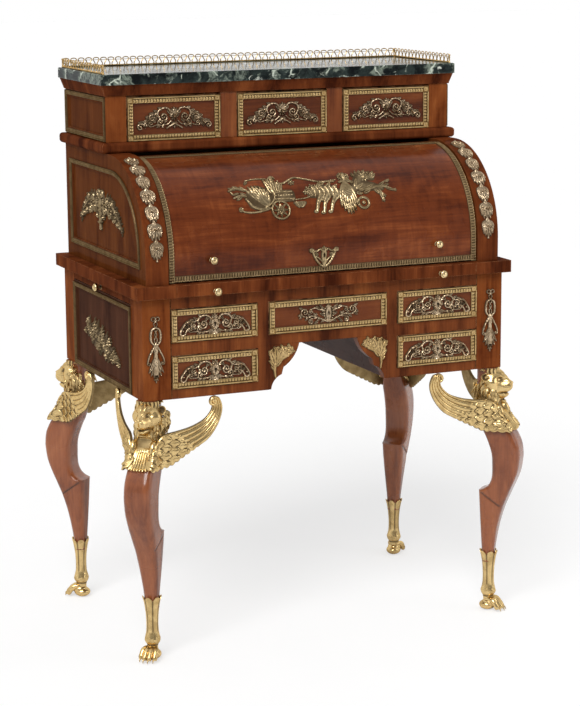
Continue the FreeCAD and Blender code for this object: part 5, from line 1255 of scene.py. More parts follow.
# mounts fixed to the case: chains on the curved ends, stile drops, spandrel leaves and side sprays
caseTrim = {"chainX": 374.4, "chainTop": 77, "chainFoot": 2, "drops": 7, "stileX": 381, "stileZ": 653.5,
            "sideX": 406, "sideZ": 638, "endX": 395.8, "endY": 22, "endZ": 907, "deskTop": 782.1,
            "leafX": -100, "leafZ": 602}


def leafChain(length):
    # bells of leaves hung close under one another, every second one wider, each with a rosette at its neck
    sheet = canvas(36, length, 0.8)
    pitch = length / caseTrim["drops"]
    for number in range(caseTrim["drops"]):
        top = length / 2 - 1 - pitch * number
        size = 0.84 + 0.16 * (number % 2)
        palmette(sheet, (0, top + 2), -90, 1.02 * pitch, 7, 36 * size, 3.0, 0.27)
        for sign in (-1, 1):
            leaf(sheet, (0, top), (sign * 12.5 * size, top - 0.22 * pitch), 8, 3.2, -sign * 2)
            leaf(sheet, (0, top - 0.2 * pitch), (sign * 14 * size, top - 0.58 * pitch), 9, 3.0, -sign)
            scroll(sheet, [], (sign * 8.5 * size, top - 0.3 * pitch), 4, 1.1, 90, sign, 2.4, 3.6)
        rosette(sheet, (0, top - 0.3 * pitch), 5.2, 6, 4.2, number)
        bead(sheet, (0, top - 0.96 * pitch), 2.6, 3.6)
    return sheet


def stileDrop():
    # a bow, an oval wreath of twisted bands, a waisted bell with scroll arms and a bead below
    sheet = canvas(44, 140, 0.8)
    for sign in (-1, 1):
        strand(sheet, spiral((sign * 4.5, 62), 4, 1, 90, sign, 0.95, 16), 2.4, 2.6)
        strand(sheet, [(0, 58), (sign * 3.5, 52), (sign * 1.5, 46)], (2.6, 2), 2.6)
        wreath = [(0, 45), (sign * 8, 40), (sign * 10.5, 28), (sign * 9, 16), (sign * 3, 9)]
        strand(sheet, wreath, (4, 5.5, 4), 3.2)
        strand(sheet, [(sign * 3, 40), (-sign * 2, 30), (sign * 3, 20), (0, 10)], (2.6, 3), 2.4)
        strand(sheet, [(sign * 3, 6), (sign * 9, -4), (sign * 15, -16), (sign * 17.5, -26)], (4.5, 3.4), 3.0)
        scroll(sheet, [(sign * 17.5, -26)], (sign * 14, -28), 4, 0.9, 0 if sign > 0 else 180, -sign, 2.6, 2.8)
        for reach, drop in ((5, -58), (11, -55), (16, -48)):
            leaf(sheet, (sign * 2, -16), (sign * reach, drop), 8, 3.0, -sign * 1.5)
    vase(sheet, 0, (-52, -40, -24, -10, 0, 8, 12), (7, 5.5, 4.5, 4.6, 5.6, 5, 2), 3.6)
    rosette(sheet, (0, 3), 4.6, 6, 4.2)
    bead(sheet, (0, 57), 2.6, 3.4)
    rosette(sheet, (0, -58), 4.4, 6, 4.0)
    palmette(sheet, (0, -60), -90, 9, 3, 50, 3.0)
    return sheet


def spandrelLeaf():
    # acanthus that grows from a stalk beside the stile and spreads in lobed leaves under the rail
    sheet = canvas(72, 98, 0.85)
    strand(sheet, [(-20, -30), (-22, -16), (-21, -2)], (3, 6, 7), 3.2)
    for root, tip in (((-21, -8), (-33, 8)), ((-20, -4), (-32, 28)), ((-19, -2), (-18, 34)),
                      ((-17, 0), (-2, 35)), ((-15, 4), (14, 34)), ((-12, 8), (20, 27)),
                      ((-18, -6), (-4, 12)), ((-22, -14), (-30, -6))):
        way = np.subtract(tip, root)
        size = np.linalg.norm(way)
        leaf(sheet, root, tip, 0.4 * size, 3.4)
        for share in (0.4, 0.65, 0.85):
            for turn in (-0.75, 0.75):
                spot = np.add(root, share * way)
                c, s = math.cos(turn), math.sin(turn)
                lobe = spot + 0.26 * np.array([c * way[0] - s * way[1], s * way[0] + c * way[1]])
                leaf(sheet, spot, lobe, 0.2 * size, 3.2)
    rosette(sheet, (-20, -3), 5, 6, 3.8)
    return sheet


def sideSpray():
    # a leaning bunch of flowers and broad leaves, full behind its middle and tapering to the front
    sheet = canvas(246, 150, 1.1)
    spine = [(-98, 10), (-60, 4), (-10, -8), (44, -22), (98, -38)]
    strand(sheet, spine, (6, 4), 2.6)
    spots = evenly(spine, 13)
    for number, spot in enumerate(spots):
        size = 8 + 30 * math.sin(math.pi * (0.15 + 0.07 * number))
        for angle in (95, 30, -65, -120):
            tip = polar(spot, angle - 20 + 22 * math.sin(2.3 * number), size)
            leaf(sheet, spot, tip, 0.3 * size, 2.2, 2)
        flower, away = 5 + 0.17 * size, 0.55 * size
        for side in (-1, 1):
            middle = (spot[0] + 0.4 * side * size, spot[1] + side * away * math.cos(2.4 * number))
            rosette(sheet, middle, flower, 5 + number % 3, 4.4, number)
        bead(sheet, (spot[0] + 8, spot[1] - 0.2 * size), 0.3 * flower, 3.8)
    return sheet


def endTrophy():
    # a short torch with a bow, between two leafy branches curled into volutes
    sheet = canvas(280, 104, 1.05)
    wing = [(12, 4), (44, 16), (82, 8), (112, -12), (132, -32)]
    strand(sheet, wing, (6, 5, 3), 3.0)
    for number, spot in enumerate(evenly(wing, 10)):
        size = 25 * (1 - 0.5 * number / 9)
        for angle in (100, 45, -55, -110):
            tip = polar(spot, angle - 4 * number + 15 * math.sin(1.9 * number), size)
            leaf(sheet, spot, tip, 0.34 * size, 2.2, 1.5)
    for x, z, size in ((32, 0, 13), (62, -6, 12), (90, -14, 9), (46, 20, 9), (76, 18, 8), (110, -22, 7)):
        scroll(sheet, [], (x, z), size, 1.5, 40, 1, 0.34 * size, 3.8)
    for x, z, size in ((20, 16, 8), (60, 14, 8), (98, 2, 7), (20, -16, 7), (122, -26, 5)):
        rosette(sheet, (x, z), size, 6, 4.2, x)
    strand(sheet, spiral((10, 32), 7, 1, 200, -1, 0.95, 18), 4, 3.4)
    vase(sheet, 0, (-42, -34, -16, 0, 16, 24), (1.5, 5, 8, 9, 10, 5), 3.6)
    palmette(sheet, (0, 20), 90, 15, 5, 55, 3.8)
    for level in (-30, -18, -6, 6):
        strand(sheet, [(0, level), (5, level + 1), (9.5, level + 3)], 3, 4.4)
    bead(sheet, (0, -42), 4, 3.6)
    return sheet


def rectangleLoop(y, z):
    # corners of a frame drawn in by a distance
    def loop(inset):
        y0, y1, z0, z1 = y[0] + inset, y[1] - inset, z[0] + inset, z[1] - inset
        return np.array([(y0, z0), (y1, z0), (y1, z1), (y0, z1)])
    return loop


def quarterLoop(inset):
    # side view of the cylinder section, drawn in: quarter round, level top, back upright and foot
    radius = desk["endRadius"] - inset
    angle = np.linspace(0, math.pi / 2, 40)
    curve = np.stack([desk["axisY"] - radius * np.cos(angle), desk["axisZ"] + radius * np.sin(angle)], -1)
    back = desk["halfDepth"] - inset
    foot = caseTrim["deskTop"] + inset
    return np.vstack([curve, [(back, curve[-1, 1]), (back, foot), (curve[0, 0], foot)]])


def sideMoulding(loop, x):
    # reeded section, inset against height, carried round a loop on the side of the case
    section = [(0, -0.3), (0, 2.2), (0.6, 3.4), (1.8, 3.4), (2.4, 2.6), (2.8, 2.2), (3.4, 2.8), (4.8, 3.0),
               (6.2, 2.8), (6.8, 2.2), (7.4, 2.5), (8.6, 2.4), (9.4, 1.7), (10, 0.6), (10, -0.3)]
    # darker in the grooves between reeds and at the foot: painted shade with dirt
    grimeAndShade = [0.5, 0.2, 0, 0, 0.2, 0.5, 0.2, 0, 0.2, 0.5, 0.2, 0, 0.2, 0.6, 0.9]
    rings = []
    for inset, height in section:
        line = loop(inset)
        rings.append(np.column_stack([np.full(len(line), x + height), line]))
    return hoop(np.array(rings), np.repeat(grimeAndShade, len(rings[0])))


chainTop, chainFoot = desk["endRadius"] * math.radians(caseTrim["chainTop"]), caseTrim["chainFoot"]
chainMiddle = (chainTop + chainFoot) / 2
chain = leafChain(chainTop - chainFoot)
drop, acanthus, spray, trophy = stileDrop(), spandrelLeaf(), sideSpray(), endTrophy()
# panels that the mouldings frame: the planes they lie in and their spans in Y and Z
panels = {"lowY": (-183, 183), "lowZ": (550, 731.6), "endInset": 30, "endX": 398.8,
          "upperY": (-14.5, 247), "upperZ": (1049.6, 1141.1), "upperX": 396.2}
mouldings = [sideMoulding(rectangleLoop(panels["lowY"], panels["lowZ"]), desk["halfWidth"]),
             sideMoulding(lambda inset: quarterLoop(panels["endInset"] + inset), panels["endX"]),
             sideMoulding(rectangleLoop(panels["upperY"], panels["upperZ"]), panels["upperX"])]
sides = (("right", 1), ("left", -1))


def toSide(part, sign):
    # the same shell, or its mirror image on the other side of the desk where the sign is -1
    return moved(part, lambda points: points * (sign, 1, 1))


for sideName, sign in sides:
    onPanelFace = onSide(sign, caseTrim["sideX"], 0, caseTrim["sideZ"])
    onEndFace = onSide(sign, caseTrim["endX"], caseTrim["endY"], caseTrim["endZ"])
    onEndCurve = onRoll(sign * caseTrim["chainX"], chainMiddle, desk["endRadius"])
    onStile = onFront(sign * caseTrim["stileX"], -desk["halfDepth"], caseTrim["stileZ"])
    onSpandrel = onFront(caseTrim["leafX"], -desk["halfDepth"], caseTrim["leafZ"])
    parts = [toSide(part, sign) for part in mouldings]
    parts.append((raised(spray, onPanelFace, False, 1.7, 0.4), 2))
    parts.append((raised(trophy, onEndFace, True, 1.7, 0.4), 2))
    parts.append((raised(chain, onEndCurve, False, 1.3, 0.3), 1))
    parts.append((raised(drop, onStile, False, 1.5, 0.5), 1))
    makePiece("case_gilding_" + sideName, parts, [gilts["bronze"], gilts["mount"], gilts["dark"]], "case",
              ("side_mouldings_" + sideName,))
    leafPart = toSide(raised(acanthus, onSpandrel, False, 1.3, 0.5), -sign)
    makePiece("spandrel_leaf_" + sideName, [leafPart], [gilts["frame"]], "case")
print("case mounts made")

# legs, lions and sabots are worked out at the front right corner and mirrored to the others:
# s runs out along the diagonal from the corner of the case, t across it
corners = {"front_right": (1, 1), "front_left": (-1, 1), "back_right": (1, -1), "back_left": (-1, -1)}
diagonal = math.sqrt(0.5)


def onCorner(points):
    # from the diagonal frame of a leg: s outward, t across, z up
    s, t, z = points[..., 0], points[..., 1], points[..., 2]
    return np.stack([desk["halfWidth"] + diagonal * (s + t), -desk["halfDepth"] - diagonal * (s - t), z], -1)


def fromCase(points):
    # offsets from the corner of the case along X and Y
    return points + (desk["halfWidth"], -desk["halfDepth"], 0)


def toCorner(parts, signs):
    # the front right corner's shells mirrored to another corner
    sx, sy = signs
    return [moved(part, lambda points: points * (sx, sy, 1)) for part in parts]


legShape = {
    "outer": [(112, -9), (137, -8), (189, -0.5), (233, 11), (269, 25.5), (314, 44), (345, 49.5), (361, 50),
              (385, 46), (414, 31), (440, 11), (467, -6), (490, -7), (547.6, -7)],
    "shank": [(112, -35), (137, -35.5), (200, -38), (268, -40.5), (275, -41)],
    "hollow": [(279, -30), (287, -20), (299, -13.5), (314, -11), (334, -11), (361, -13), (392, -24),
               (414, -35), (440, -43), (467, -50), (490, -49), (547.6, -49)],
    "width": [(112, 29), (137, 30), (206, 43), (275, 54.5), (300, 56.5), (361, 59), (414, 56), (467, 42),
              (490, 42), (547.6, 42)],
    "cant": 7,
    "columns": 72,
}


def legLine(key, z):
    # an outline of the leg at given heights
    path = curveThrough(legShape[key], 6)
    return np.interp(z, path[:, 0], path[:, 1])


def legInner(z):
    # straight shank up to the sharp hock, then the hollow behind the calf
    path = np.vstack([legShape["shank"], curveThrough(legShape["hollow"], 6)])
    return np.interp(z, path[:, 0], path[:, 1])


def legSection(z, angle, grow=0.0):
    # radius = (|cos a / depth|^n + |sin a / width|^n + |cos a + sin a over the cant|^n)^(-1/n), with n = 16
    outer, inner, wide = legLine("outer", z), legInner(z), legLine("width", z)
    depth = (outer - inner) / 2 + grow
    half = wide / 2 + grow
    c, s = np.abs(np.cos(angle)), np.abs(np.sin(angle))
    slant = (depth + half - legShape["cant"]) * diagonal
    size = ((c / depth)**16 + (s / half)**16 + ((c + s) * diagonal / slant)**16)**(-1 / 16)
    return (outer + inner) / 2, size


def legShell():
    # levels stand closest about the hock
    spans = ((112, 226, 24), (227, 290, 92), (292, 547.6, 62))
    z = np.concatenate([np.linspace(*span) for span in spans])[:, None]
    angle = np.linspace(0, tau, legShape["columns"], endpoint=False)
    middle, size = legSection(z, angle)
    s, t = middle + size * np.cos(angle), size * np.sin(angle)
    # a line cut into both sides from the hock down to the shin
    below = (276 - 0.7 * (s + 40.5)) - z
    onSideFace = ramp(np.abs(np.sin(angle)) * size / (legLine("width", z) / 2), 0.86, 0.97)
    cut = np.exp(-(below / 2.2)**2) * onSideFace * ramp(s, -45, -36) * ramp(legLine("outer", z) - s, 3, 8)
    t = t - np.sign(t) * (2.2 * cut + 0.8 * onSideFace * ramp(below, 0, 2) * (1 - ramp(below, 4, 26)))
    grid = np.stack([s, t, z + 0 * angle], -1)
    # the cut line is darkened: painted shade
    return moved(skin(grid, cut), onCorner)


# lion: head, mane, bib and two wings
lionShape = {"headS": -20, "headZ": 514, "skull": (26, 28.5, 33), "headLong": 1.05, "bibGrow": 6.2,
             "feathers": 19, "bibTop": 490, "bandFoot": 452, "bibFoot": 412, "wingRoot": 27, "wingTip": 2,
             "wingLength": 172, "neckS": -26, "neckSize": (24, 25), "neckSpan": (444, 500)}
# the face in profile: height above the middle of the head, reach of the midline, half width of the muzzle
lionProfile = [(-34, 8, 9), (-32, 22, 9.5), (-30, 31, 10), (-27, 36, 11), (-24, 38.5, 11.8), (-21, 39, 12.5),
               (-19, 35.5, 13), (-17.5, 36, 14), (-15, 41, 14.8), (-12, 43.5, 15.4), (-8, 45, 15.8),
               (-3, 46.5, 14.8), (1, 47.5, 12.5), (3.5, 47, 10.5), (6, 44.5, 9), (9, 40.5, 8), (12, 36.5, 8),
               (15, 33, 8.5), (18, 30, 9.5), (21, 27.5, 11), (24, 23.5, 14), (27, 19, 17), (31, 12, 20),
               (34, 5, 20)]


def bump2(t, z, t0, z0, wide, high, amount):
    # amount * exp(-((|t| - t0) / wide)^2 - ((z - z0) / high)^2)
    return amount * np.exp(-((np.abs(t) - t0) / wide)**2 - ((z - z0) / high)**2)


def lionFace(t, z):
    # the skull is pushed out to the profile near the midline, then nose, lips, brows and eyes are added
    level, reach, half = np.array(lionProfile).T
    skull = lionShape["skull"][0] * np.sqrt(np.clip(1 - (z / lionShape["skull"][2])**2, 0, 1))
    muzzle = np.exp(-(np.abs(t) / np.interp(z, level, half))**4)
    face = np.maximum(np.interp(z, level, reach) - skull, 0) * muzzle
    face = face + bump2(t, z, 0, 3.6, 5.6, 3.0, 2.2) + bump2(t, z, 4.2, 1.6, 1.9, 1.6, -3.2)
    face = face + bump2(t, z, 0, -7, 1.3, 6, -2.6) + bump2(t, z, 7.5, -8.5, 5.2, 6, 2.4)
    brow = 15.5 + 0.32 * (np.abs(t) - 7) - 0.035 * np.maximum(np.abs(t) - 12, 0)**2
    face = face + 6.0 * np.exp(-((np.abs(t) - 12.5) / 8)**2 - ((z - brow) / 3.2)**2)
    face = face + bump2(t, z, 12, 9.2, 4.8, 3.6, -6.5) + bump2(t, z, 12, 9.2, 3.1, 2.3, 5.6)
    face = face + bump2(t, z, 12.5, 4.6, 5.5, 1.5, 1.8) + bump2(t, z, 18, -7, 2.4, 8, -2.6)
    face = face + bump2(t, z, 0, 23, 1.9, 7, -2.6) + bump2(t, z, 7, 25, 4.5, 4.5, 2.4)
    return face + np.sin(1.9 * (z + 0.35 * np.abs(t))) * bump2(t, z, 11, -8, 4.5, 4.5, 0.5)


def lionHead():
    # skull: centre + radii * direction, pushed forward by the face, pinched at the mouth, with round cheeks
    a = math.pi * np.linspace(0.004, 0.996, 108)[:, None]**1.1
    b = np.linspace(0, tau, 120, endpoint=False)
    way = np.stack([np.cos(a) + 0 * b, np.sin(a) * np.cos(b), np.sin(a) * np.sin(b)], -1)
    grid = way * np.array(lionShape["skull"])
    t, z = grid[..., 1].copy(), grid[..., 2].copy()
    forward = lionFace(t, z) * ramp(way[..., 0], -0.12, 0.3)
    grid[..., 0] += forward
    mouth = np.exp(-((z + 18) / 2.4)**2) * ramp(forward, 2, 9)
    grid[..., 1] *= 1 - 0.16 * mouth
    cheek = np.exp(-((grid[..., 0] - 7) / 10)**2 - ((np.abs(t) - 24) / 8)**2 - ((z - 3) / 10)**2)
    grid += 4.5 * cheek[..., None] * way
    # short hair combed back over the skull
    comb = np.sin(17 * b + 3 * np.sin(5 * a)) * ramp(a, 1.35, 1.75)
    grid += 1.3 * comb[..., None] * way
    grid[..., 2] = np.minimum(grid[..., 2], desk["caseFloor"] - 0.6 - lionShape["headZ"])
    # darker in the hollows of the face, the troughs of the combed hair and the mouth: painted shade with dirt
    dirtAndShade = np.clip((softened(forward, 14) - forward) / 2.6, 0, 1) + 0.5 * np.clip(-comb, 0, 1) + 0.45 * mouth
    grid = grid + (lionShape["headS"], 0, lionShape["headZ"])
    grid[..., 2] = desk["caseFloor"] - lionShape["headLong"] * (desk["caseFloor"] - grid[..., 2])
    return skin(grid, np.clip(dirtAndShade, 0, 1))


def lock(start, middle, end, size, up):
    # a lobed tapering tuft through three points
    path = evenly([start, middle, end], 11)
    f = np.linspace(0, 1, 11)
    radius = size * (0.25 + 0.75 * np.sin(math.pi * np.clip(f * 0.85 + 0.12, 0, 1))**0.8) * (1 - 0.55 * f)
    tuft = tube(path, radius, 9, up, 0.75, 0.0, 3)
    # grooves between the lobes are darkened: painted shade
    tuft["dirtAndShade"][:-2] = np.tile(0.45 * (np.cos(3 * np.linspace(0, tau, 9, endpoint=False)) < -0.3), 11)
    return tuft


def lionMane():
    # tufts behind the cheeks and under the jaw, rows of wavy locks down the neck, ears and a fringe of beads
    parts = []
    s0, z0 = lionShape["headS"], lionShape["headZ"]
    for layer in range(3):
        for number, angle in enumerate(np.linspace(14, -88, 8)):
            a = math.radians(angle - 6 * (layer % 2))
            out = np.array([0, math.cos(a), math.sin(a)])
            under = float(ramp(-angle, 5, 80))
            start = np.array([s0 - 7 + 20 * under - 8 * layer, 28 * math.cos(a), z0 - 1 + 31 * math.sin(a)])
            wave = 2.8 * (-1)**(number + layer)
            middle = start + 4.5 * out + (-6 + 3 * under, 0, -7 + wave)
            end = start + 5.0 * out + (-10 + 6 * under + wave, 0, -20)
            for sign in (-1, 1):
                flip = np.array([1, sign, 1])
                parts.append(lock(start * flip, middle * flip, end * flip, 5.2, (1, 0, 0.3)))
    for row, level in enumerate((504, 491, 478, 466)):
        for number, angle in enumerate(np.linspace(44, 180, 8)):
            a = math.radians(angle - 8 * (row % 2))
            wave = 4 * (-1)**(number + row)
            spots = []
            for drop, swing, out in ((0, 0, 0), (10, wave, 4.0), (25, -wave, 2.5)):
                b = a + math.radians(swing)
                s, t = -25 + (24.5 + out) * math.cos(b), (25 + out) * math.sin(b)
                spots.append(np.array([s, t, level - drop]))
            for sign in (-1, 1):
                flip = np.array([1, sign, 1])
                up = (math.cos(a), sign * math.sin(a), 0.02)
                parts.append(lock(*(spot * flip for spot in spots), 5.8, up))
    for sign in (-1, 1):
        for t, s in ((4, -24), (10, -26), (16, -28), (21, -29)):
            start = np.array([s, sign * t, 540.0])
            parts.append(lock(start, start + (-3, sign * 3, 5), start + (-9, sign * 5, 2), 3.6, (1, 0, 0.2)))
        # ear: a round cup whose hollow is darkened as painted shade
        profile = [(0.3, -1.5), (4, -1.2), (6.2, 0.6), (8.0, 2.6), (9.2, 2.2), (9.2, -0.6), (7.6, -4),
                   (4, -6), (0.3, -6.6)]
        dirtAndShade = [1, 1, 0.8, 0.1, 0, 0, 0.2, 0.4, 0.5]
        parts.append(turned(profile, 24, (-27, sign * 27, 528), (0.72, sign * 0.68, 0.12), dirtAndShade))
    for t in np.linspace(-15, 15, 10):
        parts.append(ball((-7 - 0.02 * t**2, t, 545.4), (1.8, 1.8, 1.8), 7, 9))
    return parts


def lionCap():
    # hair over the front of the leg's head: leg section + 1.6 + 1.2 * sin(strands round it, wavering)
    z = np.linspace(desk["caseFloor"] - 0.6, 512, 30)[:, None]
    angle = np.radians(np.linspace(-82, 82, 110))
    hair = np.sin(19 * angle + 1.6 * np.sin(z / 5))
    middle, size = legSection(z, angle, 0.3)
    front = size + 1.6 + 1.2 * hair
    face = np.stack([middle + front * np.cos(angle), front * np.sin(angle), z + 0 * angle], -1)
    rear = np.stack([middle + size * np.cos(angle), size * np.sin(angle), z + 0 * angle], -1)
    # troughs between the strands are darkened: painted shade
    return plate(face, rear, np.clip(0.35 - 0.6 * hair, 0, 1))


def lionBib():
    # chest plate wrapped round the leg: collar, smooth band, then fluted feathers with rounded ends
    rows, columns = 62, 150
    v = np.linspace(0, 1, rows)[:, None]
    angle = np.radians(np.linspace(-122, 122, columns))
    span = math.radians(80)
    feather = angle / span * lionShape["feathers"] / 2
    flute = np.sqrt(np.clip(1 - (2 * np.abs(feather - np.round(feather)))**2, 0, 1))
    foot = lionShape["bibFoot"] + 4.5 * (1 - flute) + 11 * np.minimum(np.abs(angle) / span, 1.4)**2
    z = lionShape["bibTop"] + (foot - lionShape["bibTop"]) * v
    fluted = ramp(lionShape["bandFoot"] - z, 0, 7)
    rise = (3.2 * flute - 1.6) * fluted * (0.7 + 0.5 * v)
    rise = rise + 2.6 * np.exp(-((z - 477) / 2.2)**2) + 1.5 * np.exp(-((z - lionShape["bandFoot"]) / 1.5)**2)
    rise = rise - 1.0 * ramp(z, lionShape["bandFoot"] + 2, 456) * (1 - ramp(z, 472, 475))
    rise = rise + 1.8 * ramp(v, 0.82, 0.95) * flute
    grow = lionShape["bibGrow"] + rise
    thin = np.sqrt(np.clip((1.0 - v) / 0.035, 0, 1))
    middle, size = legSection(z, angle, 0.3)
    front = size + np.maximum(grow * (0.25 + 0.75 * thin), 0.4)
    face = np.stack([middle + front * np.cos(angle), front * np.sin(angle), z], -1)
    rear = np.stack([middle + size * np.cos(angle), size * np.sin(angle), z], -1)
    # gaps between the flutes and the sunk band are darkened: painted shade
    band = ramp(z, lionShape["bandFoot"] + 1, 456) * (1 - ramp(z, 471, 475))
    dirtAndShade = np.clip((1 - flute - 0.35) * 1.5, 0, 1) * fluted + 0.55 * band
    return plate(face, rear, np.clip(dirtAndShade, 0, 1))


wingEdges = {
    "lower": [(-1, 441), (-6, 435), (-9, 428), (-8, 421), (-1, 416), (11, 414), (28, 413.5), (44, 415),
              (58, 420), (73, 428), (97, 440), (132, 456), (152, 475), (166, 499), (171, 522), (165, 541),
              (157, 546)],
    "upper": [(0, 441), (8, 452), (16, 463), (24, 474), (34, 481), (49, 483), (69, 485), (98, 490),
              (127, 501), (143, 516), (148, 529), (148, 538), (146, 542)],
    "rows": 152, "columns": 54, "long": 250, "deep": 62, "slant": 16, "featherLong": 20, "featherWide": 15.5,
    "ribs": 4.5,
}


def wingOut(u, z):
    # distance of the wing's face from the case: a straight line, or the chest where that is further out
    root, tip = lionShape["wingRoot"], lionShape["wingTip"]
    line = root - (root - tip) * u / lionShape["wingLength"]
    outer = legLine("outer", z) + lionShape["bibGrow"] + 2
    half = legLine("width", z) / 2 + lionShape["bibGrow"] + 2
    cant = (outer + half - legShape["cant"]) * diagonal
    chest = np.minimum(np.minimum(outer / diagonal + u, half / diagonal - u), cant)
    return (line + chest + 2 + np.sqrt((line - chest - 2)**2 + 9)) / 2


def lionWing():
    # strips between the lower and the upper edge: rows of rounded feathers, then long ribs to the tip
    a = np.linspace(0, 1, wingEdges["rows"])[:, None]
    b = np.linspace(0, 1, wingEdges["columns"])
    lower = evenly(wingEdges["lower"], wingEdges["rows"])
    upper = evenly(wingEdges["upper"], wingEdges["rows"])
    frill = 3.2 * np.abs(np.sin(math.pi * 21 * a)) * ramp(a, 0.03, 0.08) * (1 - ramp(a, 0.46, 0.6))
    lower = lower + frill * unit(lower - upper)
    spot = lower[:, None] * (1 - b[:, None]) + upper[:, None] * b[:, None]
    # feathers: each climbs towards its round tip, odd rows set half a feather over, all slanted
    p, q = wingEdges["long"] * a, wingEdges["deep"] * b
    turn = math.radians(wingEdges["slant"])
    x = (p * math.cos(turn) - q * math.sin(turn)) / wingEdges["featherLong"]
    y = (p * math.sin(turn) + q * math.cos(turn)) / wingEdges["featherWide"]
    feathers = 0
    for row in (0, 1):
        aside = 2 * np.mod(y + 0.5 * row, 1) - 1
        f = np.mod((x + 0.62 * aside**2 - row) / 2, 1) * 2
        quill = 0.3 * np.exp(-(aside / 0.14)**2) + 0.08 * np.cos(9 * math.pi * aside)
        body = (0.15 + 0.85 * f / 1.45) * np.sqrt(1 - 0.75 * aside**2) + quill * f / 1.45
        feathers = np.maximum(feathers, np.where(f < 1.45, body, 0))
    slope = a + 0.10 * (b - 0.5)
    inFeathers = ramp(a, 0.01, 0.05) * (1 - ramp(slope, 0.44, 0.49))
    wave = np.abs(np.sin(math.pi * wingEdges["ribs"] * (b + 0.02)))
    inRibs = ramp(slope, 0.42, 0.51)
    shoulder = np.exp(-((b - 0.95) / 0.05)**2) * (1 - ramp(a, 0.3, 0.5))
    rise = 4.6 * feathers * inFeathers + 3.8 * wave**0.7 * inRibs * (1 - 0.4 * a) + 2.6 * shoulder
    edge = np.sqrt(np.clip(1 - np.abs(2 * b - 1)**6, 0, 1)) * np.ones_like(a)
    rise = (rise - 2.6) * edge - 3.0 * (1 - edge)
    out = wingOut(spot[..., 0], spot[..., 1])
    front = np.stack([-spot[..., 0], -(out + rise), spot[..., 1]], -1)
    rear = np.stack([-spot[..., 0], -(out - 8.4 + 1.8 * (1 - edge)), spot[..., 1]], -1)
    # hollows below the softened feathers are darkened: painted shade
    dirtAndShade = np.clip((softened(rise, 8) - rise) / 1.1, 0, 1)
    return plate(front, rear, dirtAndShade)


def wingCurl():
    # volute at the tip: a spiral bar that shrinks towards its eye
    path = spiral((151, 535.5), 9.3, 1.35, 68, 1, 0.2, 40)
    out = wingOut(path[:, 0], path[:, 1]) - 4
    line = np.stack([-path[:, 0], -out, path[:, 1]], -1)
    curl = tube(line, np.linspace(3.4, 2.2, 40), 10, (0, 1, 0), 1.6)
    eye = ball(line[-1], (2.6, 5, 2.6), 8, 10)
    return [curl, eye]


def lionShells():
    # head, mane, cap, bib, neck and shoulders, then the two wings, one mirrored across the diagonal
    parts = [lionHead(), *lionMane(), lionCap(), lionBib()]
    neckZ = np.linspace(*lionShape["neckSpan"], 24)[:, None]
    angle = np.linspace(0, tau, 40, endpoint=False)
    deep, wide = lionShape["neckSize"]
    neck = np.broadcast_arrays(lionShape["neckS"] + deep * np.cos(angle), wide * np.sin(angle), neckZ)
    # the neck is darkened evenly
    parts.append(skin(np.stack(neck, -1), np.full(neck[0].shape, 0.6)))
    for sign in (-1, 1):
        parts.append(ball((0, sign * 22, 446), (16, 10, 24), 14, 18))
    parts = [moved(part, onCorner) for part in parts]
    for part in (lionWing(), *wingCurl()):
        parts.append(moved(part, fromCase))
        parts.append(moved(part, lambda points: fromCase(-points[:, [1, 0, 2]] * (1, 1, -1))))
    return parts


# sabot: fluted sock with leaf-shaped rim over a four-toed paw
sabotShape = {"axis": -21.5, "flutes": 6, "toes": 4, "rim": 137, "pawS": -15}


def sabotSock():
    # radius follows a turned outline with flutes; the rim rises in one leaf for each flute and turns inward
    outline = curveThrough([(24, 10.5), (30, 11.2), (34, 12.2), (39, 15.4), (45, 16.6), (52, 14.8),
                            (62, 12.9), (80, 12.4), (100, 13.4), (118, 15.8), (130, 18.2), (137, 19.4)], 6)
    angle = np.linspace(0, tau, 96, endpoint=False)
    leafEdge = np.abs(np.cos(sabotShape["flutes"] / 2 * angle))
    top = sabotShape["rim"] - 10 * (1 - leafEdge**0.8)
    v = np.linspace(0, 1, 64)[:, None]
    z = 24 + (top - 24) * v
    size = np.interp(z, outline[:, 0], outline[:, 1])
    fluted = ramp(z, 52, 64)
    hollow = 1 - leafEdge**0.6
    size = size - 1.3 * hollow * fluted + 1.0 * ramp(z, 125, 136) * leafEdge
    lobes = np.exp(-((z - 44) / 5)**2) * np.cos(8 * angle) * 0.7
    size = size + lobes
    ring = np.stack([size * np.cos(angle), size * np.sin(angle), z], -1)
    tuck = []
    for inset, drop in ((1.3, -0.4), (2.4, 1.0), (3.4, 5.0), (7.0, 12.0)):
        inside = size[-1] - inset
        tuck.append(np.stack([inside * np.cos(angle), inside * np.sin(angle), top - drop], -1))
    grid = np.vstack([ring, tuck])
    # darker in the flute hollows, the groove above the paw and inside the rim: painted shade with dirt
    dirtAndShade = np.vstack([np.clip(0.8 * hollow * fluted + 0.7 * np.exp(-((z - 33) / 3)**2), 0, 1),
                      np.tile([[0.0], [0.4], [0.9], [1.0]], (1, 96))])
    return moved(skin(grid + (sabotShape["axis"], 0, 0), dirtAndShade), onCorner)


